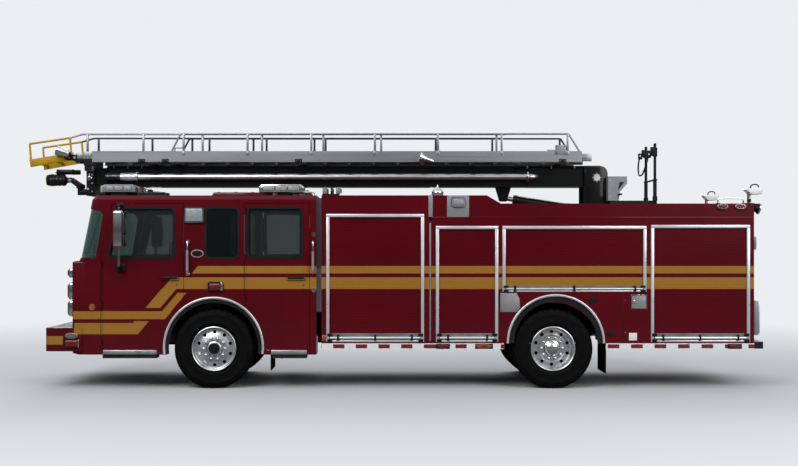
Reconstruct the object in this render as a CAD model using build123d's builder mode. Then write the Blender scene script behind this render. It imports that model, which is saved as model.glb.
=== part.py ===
from build123d import *
import os
from math import radians, sqrt, tan

os.makedirs("parts", exist_ok=True)

# Fire engine with a custom cab and a telescoping water boom. Millimetres.
# +X points forward, +Y to the driver's side, +Z up; the ground is at Z = 0.

# Running gaps and small clearances
move_gap = 6.0
seat_gap = 0.3
pin_gap = 0.05

# Wheels and axles
tyre_radius = 535.0
front_tyre_width = 400.0
rear_tyre_width = 285.0
twin_space = 45.0
wheel_face_y = 1200.0
rim_radius = 300.0
front_disc_y = wheel_face_y - 80.0
rear_disc_y = wheel_face_y - 155.0
disc_half = 8.0
hand_holes = 10
hand_hole_radius = 24.0
hand_hole_circle = 223.0
wheelbase = 4572.0
front_axle_x = 2334.0
rear_axle_x = front_axle_x - wheelbase
kingpin_y = 760.0
spindle_radius = 45.0
hub_radius = 115.0

# Cab
half_width = 1220.0
cab_front_x = 4205.0
cab_rear_x = 950.0
cab_bottom_z = 459.0
cab_roof_z = 2603.0
cowl_z = 1719.0
cab_wall = 60.0
cab_floor_z = 1000.0
floor_plate = 40.0
corner_radius = 115.0
roof_edge = 55.0
roof_turn = 38.0
windscreen_base_z = 1756.0
windscreen_top_z = 2421.0
windscreen_rake = 140.0
cowl_ledge = 45.0
glass_thickness = 10.0
arch_radius = 626.0
arch_band = 47.0
wheel_well_half = 745.0
wheel_well_inner_y = 520.0
wheel_well_top = 1165.0
well_wall = 40.0
channel_half = 470.0

# Cab doors
door_bottom_z = 522.0
door_top_z = 2494.0
front_door_x = 3847.0
front_door_rear_x = 2739.0
rear_door_x = 1919.0
rear_door_rear_x = 1044.0
door_thickness = 60.0
door_lean = 155.0
hinge_radius = 11.0
hinge_pin_radius = 5.0
window_sill_z = 1762.0
window_top_z = 2432.0
window_corner = 60.0

# Pump module and body
module_front_x = 883.0
module_rear_x = -567.0
body_front_x = -594.0
body_rear_x = -4938.0
box_bottom_z = 612.0
module_top_z = 2603.0
body_top_z = 2493.0
deck_z = 2300.0
box_wall = 40.0
shutter_inset = 12.0
shutter_thickness = 24.0
shutter_frame = 41.0
frame_proud = 12.0
lift_bar_radius = 18.0
seam_z = 2304.0
seam_half = 3.0
rub_rail_height = 76.0
rub_rail_depth = 45.0
tailboard_rear_x = -5072.0

# Chassis
rail_y = 430.0
rail_height = 250.0
rail_top_z = 950.0
rail_flange = 85.0
rail_web = 10.0
rail_front_x = 4150.0
rail_rear_x = -4860.0
bumper_front_x = 4592.0
bumper_top_z = 818.0
bumper_bottom_z = 505.0
bumper_wall = 60.0
bumper_plate = 12.0
cab_mounts = (1200.0, 3600.0)
tow_eye_x = 4320.0
tow_eye_y = 390.0
tow_eye_z = 470.0
tow_eye_radius = 30.0
tow_eye_thickness = 30.0

# Boom and turntable
turn_x = -3006.0
pivot_x = -2987.0
pivot_z = 2896.0
boom_bottom_z = 2765.0
boom_top_z = 3068.0
boom_half_width = 170.0
boom_wall = 14.0
boom_front_x = 3998.0
boom_rear_x = -3150.0
boom_collar_front_x = -2024.0
fly_gap = 15.0
fly_wall = 12.0
fly_rear_x = -2400.0
head_x = 4175.0
head_thickness = 115.0
turret_plate_z = 2350.0
turret_plate_radius = 560.0
turret_plate_thickness = 35.0
cheek_y = 200.0
cheek_thickness = 36.0
pivot_pin_radius = 45.0
lug_x = 1310.0
lug_drop = 282.0
barrel_x = 200.0
barrel_drop = 450.0
barrel_radius = 60.0
barrel_bore = 50.0
rod_radius = 34.0
eye_radius = 45.0
eye_width = 60.0
lug_thickness = 20.0
lug_space = 10.0

# Ladder
ladder_rail_y = 412.0
post_width = 30.0
ladder_rail_width = 46.0
ladder_web = 16.0
ladder_bottom_z = 3105.0
ladder_chord = 55.0
ladder_top_z = 3260.0
ladder_front_x = 4158.0
ladder_rear_x = -2751.0
rung_pitch = 355.6
rung_half = 14.0
fly_rail_y = 358.0
fly_rail_width = 36.0
fly_rail_bottom_z = 3168.0
fly_rail_top_z = 3250.0
fly_ladder_rear_x = -1720.0
fly_ladder_front_x = head_x + head_thickness
tip_slope = 9.2
handrail_z = 3514.0
fly_handrail_z = 3484.0
tip_front_x = 5072.0
handrail_thickness = 30.0


def block(x, y, z, mode=Mode.ADD):
    """A box from three (low, high) pairs."""
    with Locations(((x[0] + x[1]) / 2, (y[0] + y[1]) / 2, (z[0] + z[1]) / 2)):
        Box(x[1] - x[0], y[1] - y[0], z[1] - z[0], mode=mode)


def side_prism(points, y, mode=Mode.ADD):
    """A side-view outline (X, Z) run between two Y values."""
    with BuildSketch(Plane.XZ.offset(-y[0])) as outline:
        with BuildLine():
            Polyline(*points, close=True)
        make_face()
    extrude(outline.sketch, amount=-(y[1] - y[0]), mode=mode)


def rod_x(y, z, x, radius, mode=Mode.ADD):
    """A round bar along X."""
    with Locations(((x[0] + x[1]) / 2, y, z)):
        Cylinder(radius, x[1] - x[0], rotation=(0, 90, 0), mode=mode)


def rod_y(x, z, y, radius, mode=Mode.ADD):
    """A round bar along Y."""
    with Locations((x, (y[0] + y[1]) / 2, z)):
        Cylinder(radius, y[1] - y[0], rotation=(90, 0, 0), mode=mode)


def rod_z(x, y, z, radius, mode=Mode.ADD):
    """An upright round bar."""
    with Locations((x, y, (z[0] + z[1]) / 2)):
        Cylinder(radius, z[1] - z[0], mode=mode)


def slant(start, end, y, thickness, mode=Mode.ADD):
    """A square bar in side view between two (X, Z) points, centred on a Y value."""
    reach = sqrt((end[0] - start[0]) ** 2 + (end[1] - start[1]) ** 2)
    across_x = (end[1] - start[1]) / reach * thickness / 2
    across_z = (end[0] - start[0]) / reach * thickness / 2
    outline = (
        (start[0] - across_x, start[1] + across_z), (end[0] - across_x, end[1] + across_z),
        (end[0] + across_x, end[1] - across_z), (start[0] + across_x, start[1] - across_z),
    )
    side_prism(outline, (y - thickness / 2, y + thickness / 2), mode)


def window_prism(points, y, mode=Mode.ADD):
    """A side-view opening with rounded corners, run between two Y values."""
    with BuildSketch(Plane.XZ.offset(-y[0])) as outline:
        with BuildLine():
            Polyline(*points, close=True)
        make_face()
        fillet(outline.vertices(), window_corner)
    extrude(outline.sketch, amount=-(y[1] - y[0]), mode=mode)


def box_outline(x, z):
    """The four corners (X, Z) of a box in side view."""
    return (x[0], z[0]), (x[1], z[0]), (x[1], z[1]), (x[0], z[1])


def side_pair(low, high, side):
    """A (low, high) Y pair on the driver's side (1) or mirrored (-1)."""
    return (low, high) if side > 0 else (-high, -low)


def save(piece, name):
    """Label a finished piece and write its STEP file."""
    piece.part.label = name
    export_step(piece.part, "parts/" + name + ".step")


sides = {"left": 1, "right": -1}

# Frame rails: two channels and the crossmembers between them
crossmembers = (-4700.0, -3700.0, -1500.0, -300.0, 650.0, 3700.0)
crossmember_half = 40.0
eye_plate = 60.0
with BuildPart() as frame_rails:
    rail_z = (rail_top_z - rail_height, rail_top_z)
    reach = rail_y - rail_web
    for side in sides.values():
        flange = side_pair(rail_y - rail_flange, rail_y, side)
        block((rail_rear_x, rail_front_x), flange, rail_z)
        inner = side_pair(rail_y - rail_flange, reach, side)
        hollow_z = (rail_z[0] + rail_web, rail_z[1] - rail_web)
        block((rail_rear_x, rail_front_x), inner, hollow_z, Mode.SUBTRACT)
    for x in crossmembers:
        member_x = (x - crossmember_half, x + crossmember_half)
        block(member_x, (-reach, reach), (rail_top_z - 80, rail_top_z - 15))
    for side in sides.values():
        flange = side_pair(rail_y - rail_flange, rail_y, side)
        horn_x = (rail_front_x - rail_web, bumper_front_x - bumper_wall - seat_gap)
        block(horn_x, flange, (bumper_bottom_z + 135, bumper_top_z - bumper_plate - seat_gap))
        for x in cab_mounts:
            block((x - 60, x + 60), flange, (rail_top_z - 1, cab_floor_z - floor_plate - seat_gap))
        eye_y = side_pair(tow_eye_y - tow_eye_thickness / 2, tow_eye_y + tow_eye_thickness / 2, side)
        eye_x = (tow_eye_x - eye_plate, tow_eye_x + eye_plate)
        block(eye_x, eye_y, (tow_eye_z - eye_plate, bumper_bottom_z + 136))
        through = side_pair(tow_eye_y - eye_plate, tow_eye_y + eye_plate, side)
        rod_y(tow_eye_x, tow_eye_z, through, tow_eye_radius, Mode.SUBTRACT)
save(frame_rails, "frame_rails")

# Front axle: a dropped beam with an eye and a kingpin at each end
axle_z = tyre_radius
eye_half = 105.0
with BuildPart() as front_axle:
    block((front_axle_x - 55, front_axle_x + 55), (-640, 640), (axle_z - 95, axle_z - 5))
    for side in sides.values():
        end = side_pair(600, kingpin_y, side)
        block((front_axle_x - 45, front_axle_x + 45), end, (axle_z - 60, axle_z + 60))
        rod_z(front_axle_x, side * kingpin_y, (axle_z - eye_half, axle_z + eye_half), 58)
        rod_z(front_axle_x, side * kingpin_y, (axle_z - 175, axle_z + 175), 24)
save(front_axle, "front_axle")

# Rear axle: banjo housing with its covers, tubes and the spindles that carry the twin wheels
pinion_reach = 280.0
banjo_radius = 215.0
banjo_half = 120.0
axle_tube_radius = 75.0
spindle_reach = wheel_face_y - 120.0
with BuildPart() as rear_axle:
    rod_x(0, axle_z, (rear_axle_x - banjo_half, rear_axle_x + banjo_half), banjo_radius)
    rod_x(0, axle_z, (rear_axle_x - banjo_half - 55, rear_axle_x - banjo_half + 1), banjo_radius - 45)
    rod_y(rear_axle_x, axle_z, (-560, 560), axle_tube_radius)
    rod_x(0, axle_z + 15, (rear_axle_x + banjo_half - 1, rear_axle_x + pinion_reach), 60)
    rod_y(rear_axle_x, axle_z, (-spindle_reach, spindle_reach), spindle_radius)
save(rear_axle, "rear_axle")

# Leaf springs: one stepped pack over each end of both axles
spring_y = rail_y - rail_flange / 2
spring_half = 38.0
leaf_thickness = 14.0
springs = (
    # axle X, seat height, half length
    (front_axle_x, axle_z - 5 + seat_gap, 620.0),
    (rear_axle_x, axle_z + axle_tube_radius + seat_gap, 620.0),
)
with BuildPart() as leaf_springs:
    for x, base, half_length in springs:
        for side in sides.values():
            y = side_pair(spring_y - spring_half, spring_y + spring_half, side)
            top = rail_top_z - rail_height - seat_gap
            block((x - 60, x + 60), y, (base, base + 40))
            for leaf in range(3):
                reach = half_length - (2 - leaf) * 170
                low = base + 40 + leaf * leaf_thickness
                block((x - reach, x + reach), y, (low, low + leaf_thickness))
            for end in (-1, 1):
                foot = (x + end * half_length - 30, x + end * half_length + 30)
                block(foot, y, (base + 40, top))
save(leaf_springs, "leaf_springs")

# Engine, gearbox and the shafts back to the pump and the rear axle
with BuildPart() as driveline:
    block((1900, 3300), (-320, 320), (640, 1560))
    mount_y = rail_y - rail_flange
    for x in (2100, 3000):
        rail_low_z = rail_top_z - rail_height
        block((x - 50, x + 50), (-mount_y, mount_y), (rail_low_z, rail_low_z + 50))
    rod_x(0, 790, (1250, 1900), 150)
    rod_x(0, 780, (-200, 1250), 50)
    block((-560, -200), (-200, 200), (600, 860))
    pinion_x = rear_axle_x + pinion_reach
    side_prism(((-560, 790), (-560, 690), (pinion_x, axle_z - 35), (pinion_x, axle_z + 65)), (-45, 45))
save(driveline, "driveline")

# Front bumper: wrapped ends, top plate and the extension behind it
corner_x = bumper_front_x - 45.0
bumper_half = half_width + 18.0
wing_gap = 3.0
corner_y = bumper_half - 30.0
bumper_rear_x = cab_front_x - 100.0
with BuildPart() as bumper:
    with BuildSketch(Plane.XY.offset(bumper_bottom_z)) as bumper_plan:
        with BuildLine():
            Polyline(
                (bumper_rear_x, -bumper_half), (corner_x, -bumper_half), (bumper_front_x, -corner_y),
                (bumper_front_x, corner_y), (corner_x, bumper_half), (bumper_rear_x, bumper_half), close=True,
            )
        make_face()
        fillet(bumper_plan.vertices().group_by(Axis.X)[-1], 20)
    extrude(amount=bumper_top_z - bumper_bottom_z)
    over = (bumper_bottom_z - 1, bumper_top_z + 1)
    behind = (bumper_rear_x - 1, cab_front_x + move_gap)
    block(behind, (-half_width - wing_gap, half_width + wing_gap), over, Mode.SUBTRACT)
    under_z = (bumper_bottom_z - 1, bumper_top_z - bumper_plate)
    block((bumper_rear_x - 1, bumper_front_x - bumper_wall), (-850, 850), under_z, Mode.SUBTRACT)
    groove_x = (bumper_front_x - 6, bumper_front_x + 1)
    for low in (bumper_bottom_z + 90, bumper_bottom_z + 190):
        block(groove_x, (-half_width + 400, half_width - 400), (low, low + 30), Mode.SUBTRACT)
save(bumper, "bumper")


def cab_form(inset):
    """The cab's closed outer form, moved inwards by an inset, with its roof edge turned in."""
    half = half_width - inset
    rear = cab_rear_x + inset
    roof = cab_roof_z - inset
    cowl = cowl_z - inset
    slope = windscreen_rake / (windscreen_top_z - windscreen_base_z)
    # Lofts: low and high section of each, and how far its front stands back on the cowl
    lofts = (
        ((cab_bottom_z, 0.0), (cowl, 0.0), 0.0),
        ((cowl, 0.0), (roof - roof_edge, 0.0), cowl_ledge),
        ((roof - roof_edge, 0.0), (roof, roof_turn), cowl_ledge),
    )
    with BuildPart() as form:
        for low, high, ledge in lofts:
            for z, turned_in in (low, high):
                front = cab_front_x - inset - ledge - slope * max(z - cowl_z, 0) - turned_in
                with BuildSketch(Plane.XY.offset(z)) as plan:
                    with Locations(((front + rear) / 2, 0)):
                        Rectangle(front - rear, 2 * (half - turned_in))
                    fillet(plan.vertices().group_by(Axis.X)[-1], corner_radius - inset - turned_in)
            loft()
    return form.part


def door_outline(kind, margin):
    """Door outline (X, Z) before the wheel arch cut, grown by a margin."""
    low = door_bottom_z - margin
    high = door_top_z + margin
    if kind == "front":
        front = front_door_x + margin
        rear = front_door_rear_x - margin
        return (front, low), (front, window_sill_z), (front - door_lean, high), (rear, high), (rear, low)
    return box_outline((rear_door_rear_x - margin, rear_door_x + margin), (low, high))


door_kinds = ("front", "rear")
door_arch = arch_radius + arch_band + 20.0
opening_depth = (half_width - 120.0, half_width + 5.0)
windscreen_outline = (
    (cab_front_x + 200, windscreen_base_z),
    (3920, windscreen_base_z),
    (3820, windscreen_top_z - 70),
    (3900, windscreen_top_z),
    (cab_front_x + 200, windscreen_top_z),
)
# Fixed side windows: rear X, front X
fixed_window = (1999.0, 2440.0)

sill_y = channel_half + 380.0
step_y_inner = channel_half + 430.0
tunnel_x = (1800.0, 3500.0)
tunnel_half = 400.0
tunnel_top_z = 1650.0

# Cab shell: hollow, with its floor, wheel boxes, step wells and openings
with BuildPart() as cab_shell:
    add(cab_form(0))
    room = (cab_rear_x + cab_wall, cab_front_x - cab_wall)
    with BuildPart(mode=Mode.PRIVATE) as room_form:
        add(cab_form(cab_wall))
        block(room, (-half_width, half_width), (cab_bottom_z - 1, cab_floor_z), Mode.SUBTRACT)
    add(room_form.part, mode=Mode.SUBTRACT)
    low = (cab_bottom_z - 1, cab_floor_z - floor_plate)
    block((cab_rear_x - 1, cab_front_x + 1), (-sill_y, sill_y), low, Mode.SUBTRACT)
    block(tunnel_x, (-tunnel_half, tunnel_half), (cab_floor_z - 1, tunnel_top_z))
    inside_x = (tunnel_x[0] + floor_plate, tunnel_x[1] - floor_plate)
    inside_half = tunnel_half - floor_plate
    inside_z = (cab_floor_z - floor_plate - 1, tunnel_top_z - floor_plate)
    block(inside_x, (-inside_half, inside_half), inside_z, Mode.SUBTRACT)
    for side in sides.values():
        box_half = wheel_well_half + well_wall
        box_y = side_pair(wheel_well_inner_y - well_wall, half_width - 20, side)
        box_z = (cab_floor_z - floor_plate, wheel_well_top + well_wall)
        block((front_axle_x - box_half, front_axle_x + box_half), box_y, box_z)
        well_x = (front_axle_x - wheel_well_half, front_axle_x + wheel_well_half)
        well_y = side_pair(wheel_well_inner_y, half_width - 35, side)
        block(well_x, well_y, (cab_bottom_z - 1, wheel_well_top), Mode.SUBTRACT)
        arch_y = side_pair(half_width - 80, half_width + 5, side)
        rod_y(front_axle_x, axle_z, arch_y, arch_radius, Mode.SUBTRACT)
        step_z = (cab_bottom_z + 60, cab_floor_z + 1)
        step_y = side_pair(step_y_inner, half_width - cab_wall, side)
        front_step = (front_axle_x + box_half, front_door_x - 40)
        rear_step = (rear_door_rear_x + 20, front_axle_x - box_half)
        block(front_step, step_y, step_z, Mode.SUBTRACT)
        block(rear_step, step_y, step_z, Mode.SUBTRACT)
        corner = (front_door_x + 60, cab_front_x - 200)
        block(corner, side_pair(step_y_inner, half_width - cab_wall, side), low, Mode.SUBTRACT)
        for kind in door_kinds:
            with BuildPart(mode=Mode.PRIVATE) as opening:
                side_prism(door_outline(kind, move_gap), side_pair(*opening_depth, side))
                arch_y = side_pair(half_width - 200, half_width + 20, side)
                rod_y(front_axle_x, axle_z, arch_y, door_arch - move_gap, Mode.SUBTRACT)
            add(opening.part, mode=Mode.SUBTRACT)
        window = side_pair(half_width - 100, half_width + 5, side)
        window_prism(box_outline(fixed_window, (window_sill_z, window_top_z)), window, Mode.SUBTRACT)
    side_prism(windscreen_outline, (-half_width - 5, half_width + 5), Mode.SUBTRACT)
save(cab_shell, "cab_shell")

# Cab glass: the wrapped windscreen and the fixed side windows
with BuildPart() as cab_glass:
    add(cab_form(12))
    add(cab_form(12 + glass_thickness), mode=Mode.SUBTRACT)
    with BuildPart(mode=Mode.PRIVATE) as pane_space:
        side_prism(windscreen_outline, (-half_width - 5, half_width + 5))
        for side in sides.values():
            window = side_pair(half_width - 30, half_width + 5, side)
            window_prism(box_outline(fixed_window, (window_sill_z, window_top_z)), window)
    add(pane_space.part, mode=Mode.INTERSECT)
save(cab_glass, "cab_glass")

# Doors with their windows, hinge beads, handles; mirrors on the front ones
hinge_y = half_width + 4.0
hinge_inset = 12.0
hinge_lug = 24.0
hinge_lug_height = 60.0


def hinge_place(kind):
    """X of the hinge and its lowest and highest Z."""
    if kind == "front":
        return front_door_x - hinge_inset, door_bottom_z + 20, window_sill_z - 20
    reach = rear_door_x + move_gap - front_axle_x
    low = axle_z + sqrt(door_arch ** 2 - reach ** 2)
    return rear_door_x - hinge_inset, low + 30, door_top_z - 20


def hinge_lugs(kind):
    """Heights of the hinge lugs between the ends of the pin."""
    low, high = hinge_place(kind)[1:]
    return (low + 80, (low + high) / 2, high - 80)


def window_outline(kind):
    """Door window outline (X, Z)."""
    if kind == "front":
        return (
            (3757, window_sill_z), (3605, window_top_z), (2856, window_top_z), (2856, window_sill_z),
        )
    return box_outline((1144, 1877), (window_sill_z, window_top_z))


handle_x = {"front": (2806.0, 3049.0), "rear": (1103.0, 1346.0)}
handle_z = (1468.0, 1512.0)
handle_depth = 25.0
mirror_x = (3510.0, 3640.0)
mirror_z = (1910.0, 2384.0)
mirror_post_x = 3585.0
mirror_post_y = half_width + 130.0
mirror_arm_z = (1640.0, 2455.0)
for kind in door_kinds:
    for side_name, side in sides.items():
        hinge_x, hinge_low, hinge_high = hinge_place(kind)
        pin_z = (hinge_low, hinge_high)
        with BuildPart() as door:
            side_prism(door_outline(kind, 0), side_pair(half_width - door_thickness, half_width, side))
            arch_y = side_pair(half_width - 200, half_width + 20, side)
            rod_y(front_axle_x, axle_z, arch_y, door_arch, Mode.SUBTRACT)
            deep = side_pair(half_width - 100, half_width + 5, side)
            window_prism(window_outline(kind), deep, Mode.SUBTRACT)
            rod_z(hinge_x, side * hinge_y, pin_z, hinge_radius)
            rod_z(hinge_x, side * hinge_y, pin_z, hinge_pin_radius + pin_gap, Mode.SUBTRACT)
            for z in hinge_lugs(kind):
                notch = hinge_lug_height / 2 + move_gap
                notch_x = (hinge_x - hinge_radius - 5, hinge_x + hinge_inset + 1)
                notch_y = side_pair(half_width - door_thickness - 1, hinge_y + hinge_radius + 1, side)
                block(notch_x, notch_y, (z - notch, z + notch), Mode.SUBTRACT)
            block(handle_x[kind], side_pair(half_width, half_width + handle_depth, side), handle_z)
            if kind == "front":
                arm_x = (mirror_post_x - 25, mirror_post_x + 25)
                for z in mirror_arm_z:
                    block(arm_x, side_pair(half_width - 1, mirror_post_y, side), (z - 18, z + 18))
                rod_z(mirror_post_x, side * (mirror_post_y - 12), mirror_arm_z, 13)
                head_y = side_pair(mirror_post_y - 70, mirror_post_y + 120, side)
                with BuildPart(mode=Mode.PRIVATE) as mirror_head:
                    block(mirror_x, head_y, mirror_z)
                    fillet(mirror_head.edges().filter_by(Axis.Y), 30)
                add(mirror_head.part)
        save(door, "door_" + kind + "_" + side_name)
        with BuildPart() as door_glass:
            pane = side_pair(half_width - 40, half_width - 40 + glass_thickness, side)
            window_prism(window_outline(kind), pane)
        save(door_glass, "door_glass_" + kind + "_" + side_name)

# Hinge pins: upright wires fixed in the cab at each end of the door hinges
with BuildPart() as hinge_pins:
    for side in sides.values():
        for kind in door_kinds:
            hinge_x, hinge_low, hinge_high = hinge_place(kind)
            rod_z(hinge_x, side * hinge_y, (hinge_low, hinge_high), hinge_pin_radius)
            opening_x = hinge_x + hinge_inset + move_gap
            for z in hinge_lugs(kind):
                lug_y = side_pair(hinge_y - hinge_lug, hinge_y + hinge_lug / 4, side)
                lug_z = (z - hinge_lug_height / 2, z + hinge_lug_height / 2)
                block((hinge_x, opening_x), lug_y, lug_z)
save(hinge_pins, "hinge_pins")

# Seats: pedestal, pan, cushion, back and headrest
seat_places = ((3180, 760), (3180, -760), (1370, 820), (1370, 280), (1370, -280), (1370, -820))
seat_half = 225.0
cushion_z = (1300.0, 1420.0)
seat_back_x = (-330.0, -215.0)
seat_back_top_z = 1980.0
with BuildPart() as seats:
    for x, y in seat_places:
        wide = (y - seat_half, y + seat_half)
        block((x - 35, x + 165), (y - 160, y + 160), (cab_floor_z, cushion_z[0] - 59))
        block((x - 240, x + 220), (y - 200, y + 200), (cushion_z[0] - 60, cushion_z[0] + 1))
        block((x - 240, x + 250), wide, cushion_z)
        block((x + seat_back_x[0], x + seat_back_x[1]), wide, (cushion_z[0] - 60, seat_back_top_z))
        block((x - 300, x - 270), (y - 60, y + 60), (seat_back_top_z - 1, seat_back_top_z + 41))
        block((x - 320, x - 240), (y - 130, y + 130), (seat_back_top_z + 40, seat_back_top_z + 190))
save(seats, "seats")

# Dash and engine cover with the steering wheel
steering_x = 3640.0
steering_y = 700.0
steering_z = 1600.0
steering_radius = 215.0
steering_rim = 24.0
with BuildPart() as dashboard:
    with Locations(Location((steering_x, steering_y, steering_z), (0, -55, 0))):
        Cylinder(steering_radius, steering_rim)
        Cylinder(steering_radius - steering_rim, steering_rim + 2, mode=Mode.SUBTRACT)
        Box(2 * steering_radius - steering_rim, 45, steering_rim - 6)
    slant((steering_x, steering_z), (steering_x + 180, steering_z - 126), steering_y, 50)
    side_prism(((3780, 1300), (3780, 1600), (3840, 1660), (4060, 1660), (4060, 1300)), (-1000, 1000))
    block((3500, 3781), (-330, 330), (1100, 1560))
    block((3800, 3960), (-300, 300), (cab_floor_z, 1301))
save(dashboard, "dashboard")

# Grille with its bars, and the bezels with four lamps at each side
grille_half = 560.0
grille_z = (900.0, 1650.0)
grille_depth = 60.0
grille_bars = 7
with BuildPart() as grille:
    block((cab_front_x, cab_front_x + grille_depth), (-grille_half, grille_half), grille_z)
    open_x = (cab_front_x + 12, cab_front_x + grille_depth + 1)
    block(open_x, (-grille_half + 50, grille_half - 50), (grille_z[0] + 50, grille_z[1] - 50), Mode.SUBTRACT)
    for row in range(grille_bars):
        z = grille_z[0] + 100 + row * 91
        block((cab_front_x + 5, cab_front_x + 45), (-grille_half + 20, grille_half - 20), (z - 12, z + 12))
save(grille, "grille")

lamp_pitch = (185.0, 160.0)
with BuildPart() as front_lamps:
    for side in sides.values():
        bezel = side_pair(grille_half + 30, half_width - corner_radius + 20, side)
        block((cab_front_x, cab_front_x + 50), bezel, (1000, 1340))
        for row in range(2):
            for column in range(2):
                y = grille_half + 132 + column * lamp_pitch[0]
                z = 1090 + row * lamp_pitch[1]
                block((cab_front_x + 49, cab_front_x + 66), side_pair(y - 78, y + 78, side), (z - 62, z + 62))
save(front_lamps, "front_lamps")

# Wheel arch trims: a band round each opening; centre X, width, lowest Z
arch_bands = ((front_axle_x, arch_band, cab_bottom_z + 1), (rear_axle_x, 33.0, box_bottom_z - 55))
with BuildPart() as arch_trims:
    for x, band, low in arch_bands:
        for side in sides.values():
            with BuildPart(mode=Mode.PRIVATE) as ring:
                rod_y(x, axle_z, side_pair(half_width + seat_gap, half_width + 14, side), arch_radius + band)
                wide = side_pair(half_width - 5, half_width + 20, side)
                rod_y(x, axle_z, wide, arch_radius, Mode.SUBTRACT)
                block((x - 800, x + 800), wide, (axle_z - 800, low), Mode.SUBTRACT)
            add(ring.part)
save(arch_trims, "arch_trims")

# Pump module: hollow box with a shutter opening at each side and a well in its top
shutter_bottom_z = 630.0
module_shutter = (-498.0, 817.0, shutter_bottom_z, 2351.0)
module_well_z = module_top_z - 160
with BuildPart() as pump_module:
    block((module_rear_x, module_front_x), (-half_width, half_width), (box_bottom_z, module_top_z))
    inside = (module_rear_x + box_wall, module_front_x - box_wall)
    room_y = half_width - 120
    block(inside, (-room_y, room_y), (box_bottom_z - 1, module_well_z - box_wall), Mode.SUBTRACT)
    under = (module_rear_x - 1, module_front_x + 1)
    block(under, (-channel_half, channel_half), (box_bottom_z - 1, rail_top_z + seat_gap), Mode.SUBTRACT)
    for side in sides.values():
        y = side_pair(half_width - 130, half_width + 5, side)
        block(module_shutter[:2], y, module_shutter[2:], Mode.SUBTRACT)
    well_y = half_width - 60
    block(inside, (-well_y, well_y), (module_well_z, module_top_z + 1), Mode.SUBTRACT)
save(pump_module, "pump_module")

# Body: side boxes with shutter openings, a top well, a side seam and the rear wall
body_shutters = (
    # rear X, front X, low Z, high Z
    (-1495.0, -657.0, shutter_bottom_z, 2190.0),
    (-3489.0, -1553.0, 1305.0, 2190.0),
    (-4882.0, -3550.0, shutter_bottom_z, 2204.0),
)
rear_shutter_y = (-460.0, 460.0)
rear_shutter_z = (700.0, 1750.0)
slope_front_x = -1344.0
slope_rear_x = -1529.0
tank_front_x = body_front_x - box_wall
with BuildPart() as body_shell:
    side_prism(
        (
            (body_front_x, box_bottom_z), (body_front_x, module_top_z), (slope_front_x, module_top_z),
            (slope_rear_x, body_top_z), (body_rear_x, body_top_z), (body_rear_x, box_bottom_z),
        ),
        (-half_width, half_width),
    )
    well = (body_rear_x + 60, body_front_x + 1)
    block(well, (-half_width + 60, half_width - 60), (deck_z, module_top_z + 1), Mode.SUBTRACT)
    full_x = (body_rear_x - 1, body_front_x + 1)
    block(full_x, (-channel_half, channel_half), (box_bottom_z - 1, rail_top_z + seat_gap), Mode.SUBTRACT)
    for side in sides.values():
        well_x = (rear_axle_x - arch_radius - 64, rear_axle_x + arch_radius + 64)
        well_y = side_pair(channel_half - 1, half_width - 30, side)
        block(well_x, well_y, (box_bottom_z - 1, 1185), Mode.SUBTRACT)
        arch_y = side_pair(half_width - 80, half_width + 5, side)
        rod_y(rear_axle_x, axle_z, arch_y, arch_radius, Mode.SUBTRACT)
        for x0, x1, z0, z1 in body_shutters:
            block((x0, x1), side_pair(channel_half + 150, half_width + 5, side), (z0, z1), Mode.SUBTRACT)
        seam_y = side_pair(half_width - 4, half_width + 1, side)
        block(full_x, seam_y, (seam_z - seam_half, seam_z + seam_half), Mode.SUBTRACT)
    block((body_rear_x - 5, body_rear_x + 500), rear_shutter_y, rear_shutter_z, Mode.SUBTRACT)
    tank_room = (body_rear_x + 560, tank_front_x)
    block(tank_room, (-channel_half, channel_half), (rail_top_z + 60, deck_z - 60), Mode.SUBTRACT)
save(body_shell, "body_shell")

# Roll-up shutters: curtain with its bottom bar, and a raised frame round each
lift_bar_depth = 38.0
with BuildPart() as shutters:
    face = half_width - shutter_inset
    for side in sides.values():
        for x0, x1, z0, z1 in (module_shutter,) + body_shutters:
            block((x0, x1), side_pair(face - shutter_thickness, face, side), (z0, z1))
            bar_z = z0 + shutter_frame + 30
            bar_x = (x0 + shutter_frame + 10, x1 - shutter_frame - 10)
            bar_y = side_pair(face - 1, face + lift_bar_depth, side)
            block(bar_x, bar_y, (bar_z - lift_bar_radius, bar_z + lift_bar_radius))
            frame_y = side_pair(face + seat_gap, half_width + frame_proud, side)
            with BuildPart(mode=Mode.PRIVATE) as frame:
                block((x0, x1), frame_y, (z0, z1))
                inner_x = (x0 + shutter_frame, x1 - shutter_frame)
                inner_y = side_pair(face - 5, half_width + 20, side)
                block(inner_x, inner_y, (z0 + shutter_frame, z1 - shutter_frame), Mode.SUBTRACT)
            add(frame.part)
    face_x = body_rear_x + shutter_inset
    block((face_x, face_x + shutter_thickness), rear_shutter_y, rear_shutter_z)
save(shutters, "shutters")

# Rub rails under the boxes, stopping at the rear wheels and their mud flaps
flap_thickness = 12.0
rear_flap_x = rear_axle_x - tyre_radius - 172.0
front_flap_x = front_axle_x - tyre_radius - 239.0
rub_runs = ((rear_axle_x + arch_radius + 40, module_front_x), (body_rear_x, rear_flap_x))
with BuildPart() as rub_rails:
    for side in sides.values():
        for run in rub_runs:
            y = side_pair(half_width - rub_rail_depth, half_width + 12, side)
            block(run, y, (box_bottom_z - rub_rail_height, box_bottom_z))
save(rub_rails, "rub_rails")

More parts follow.
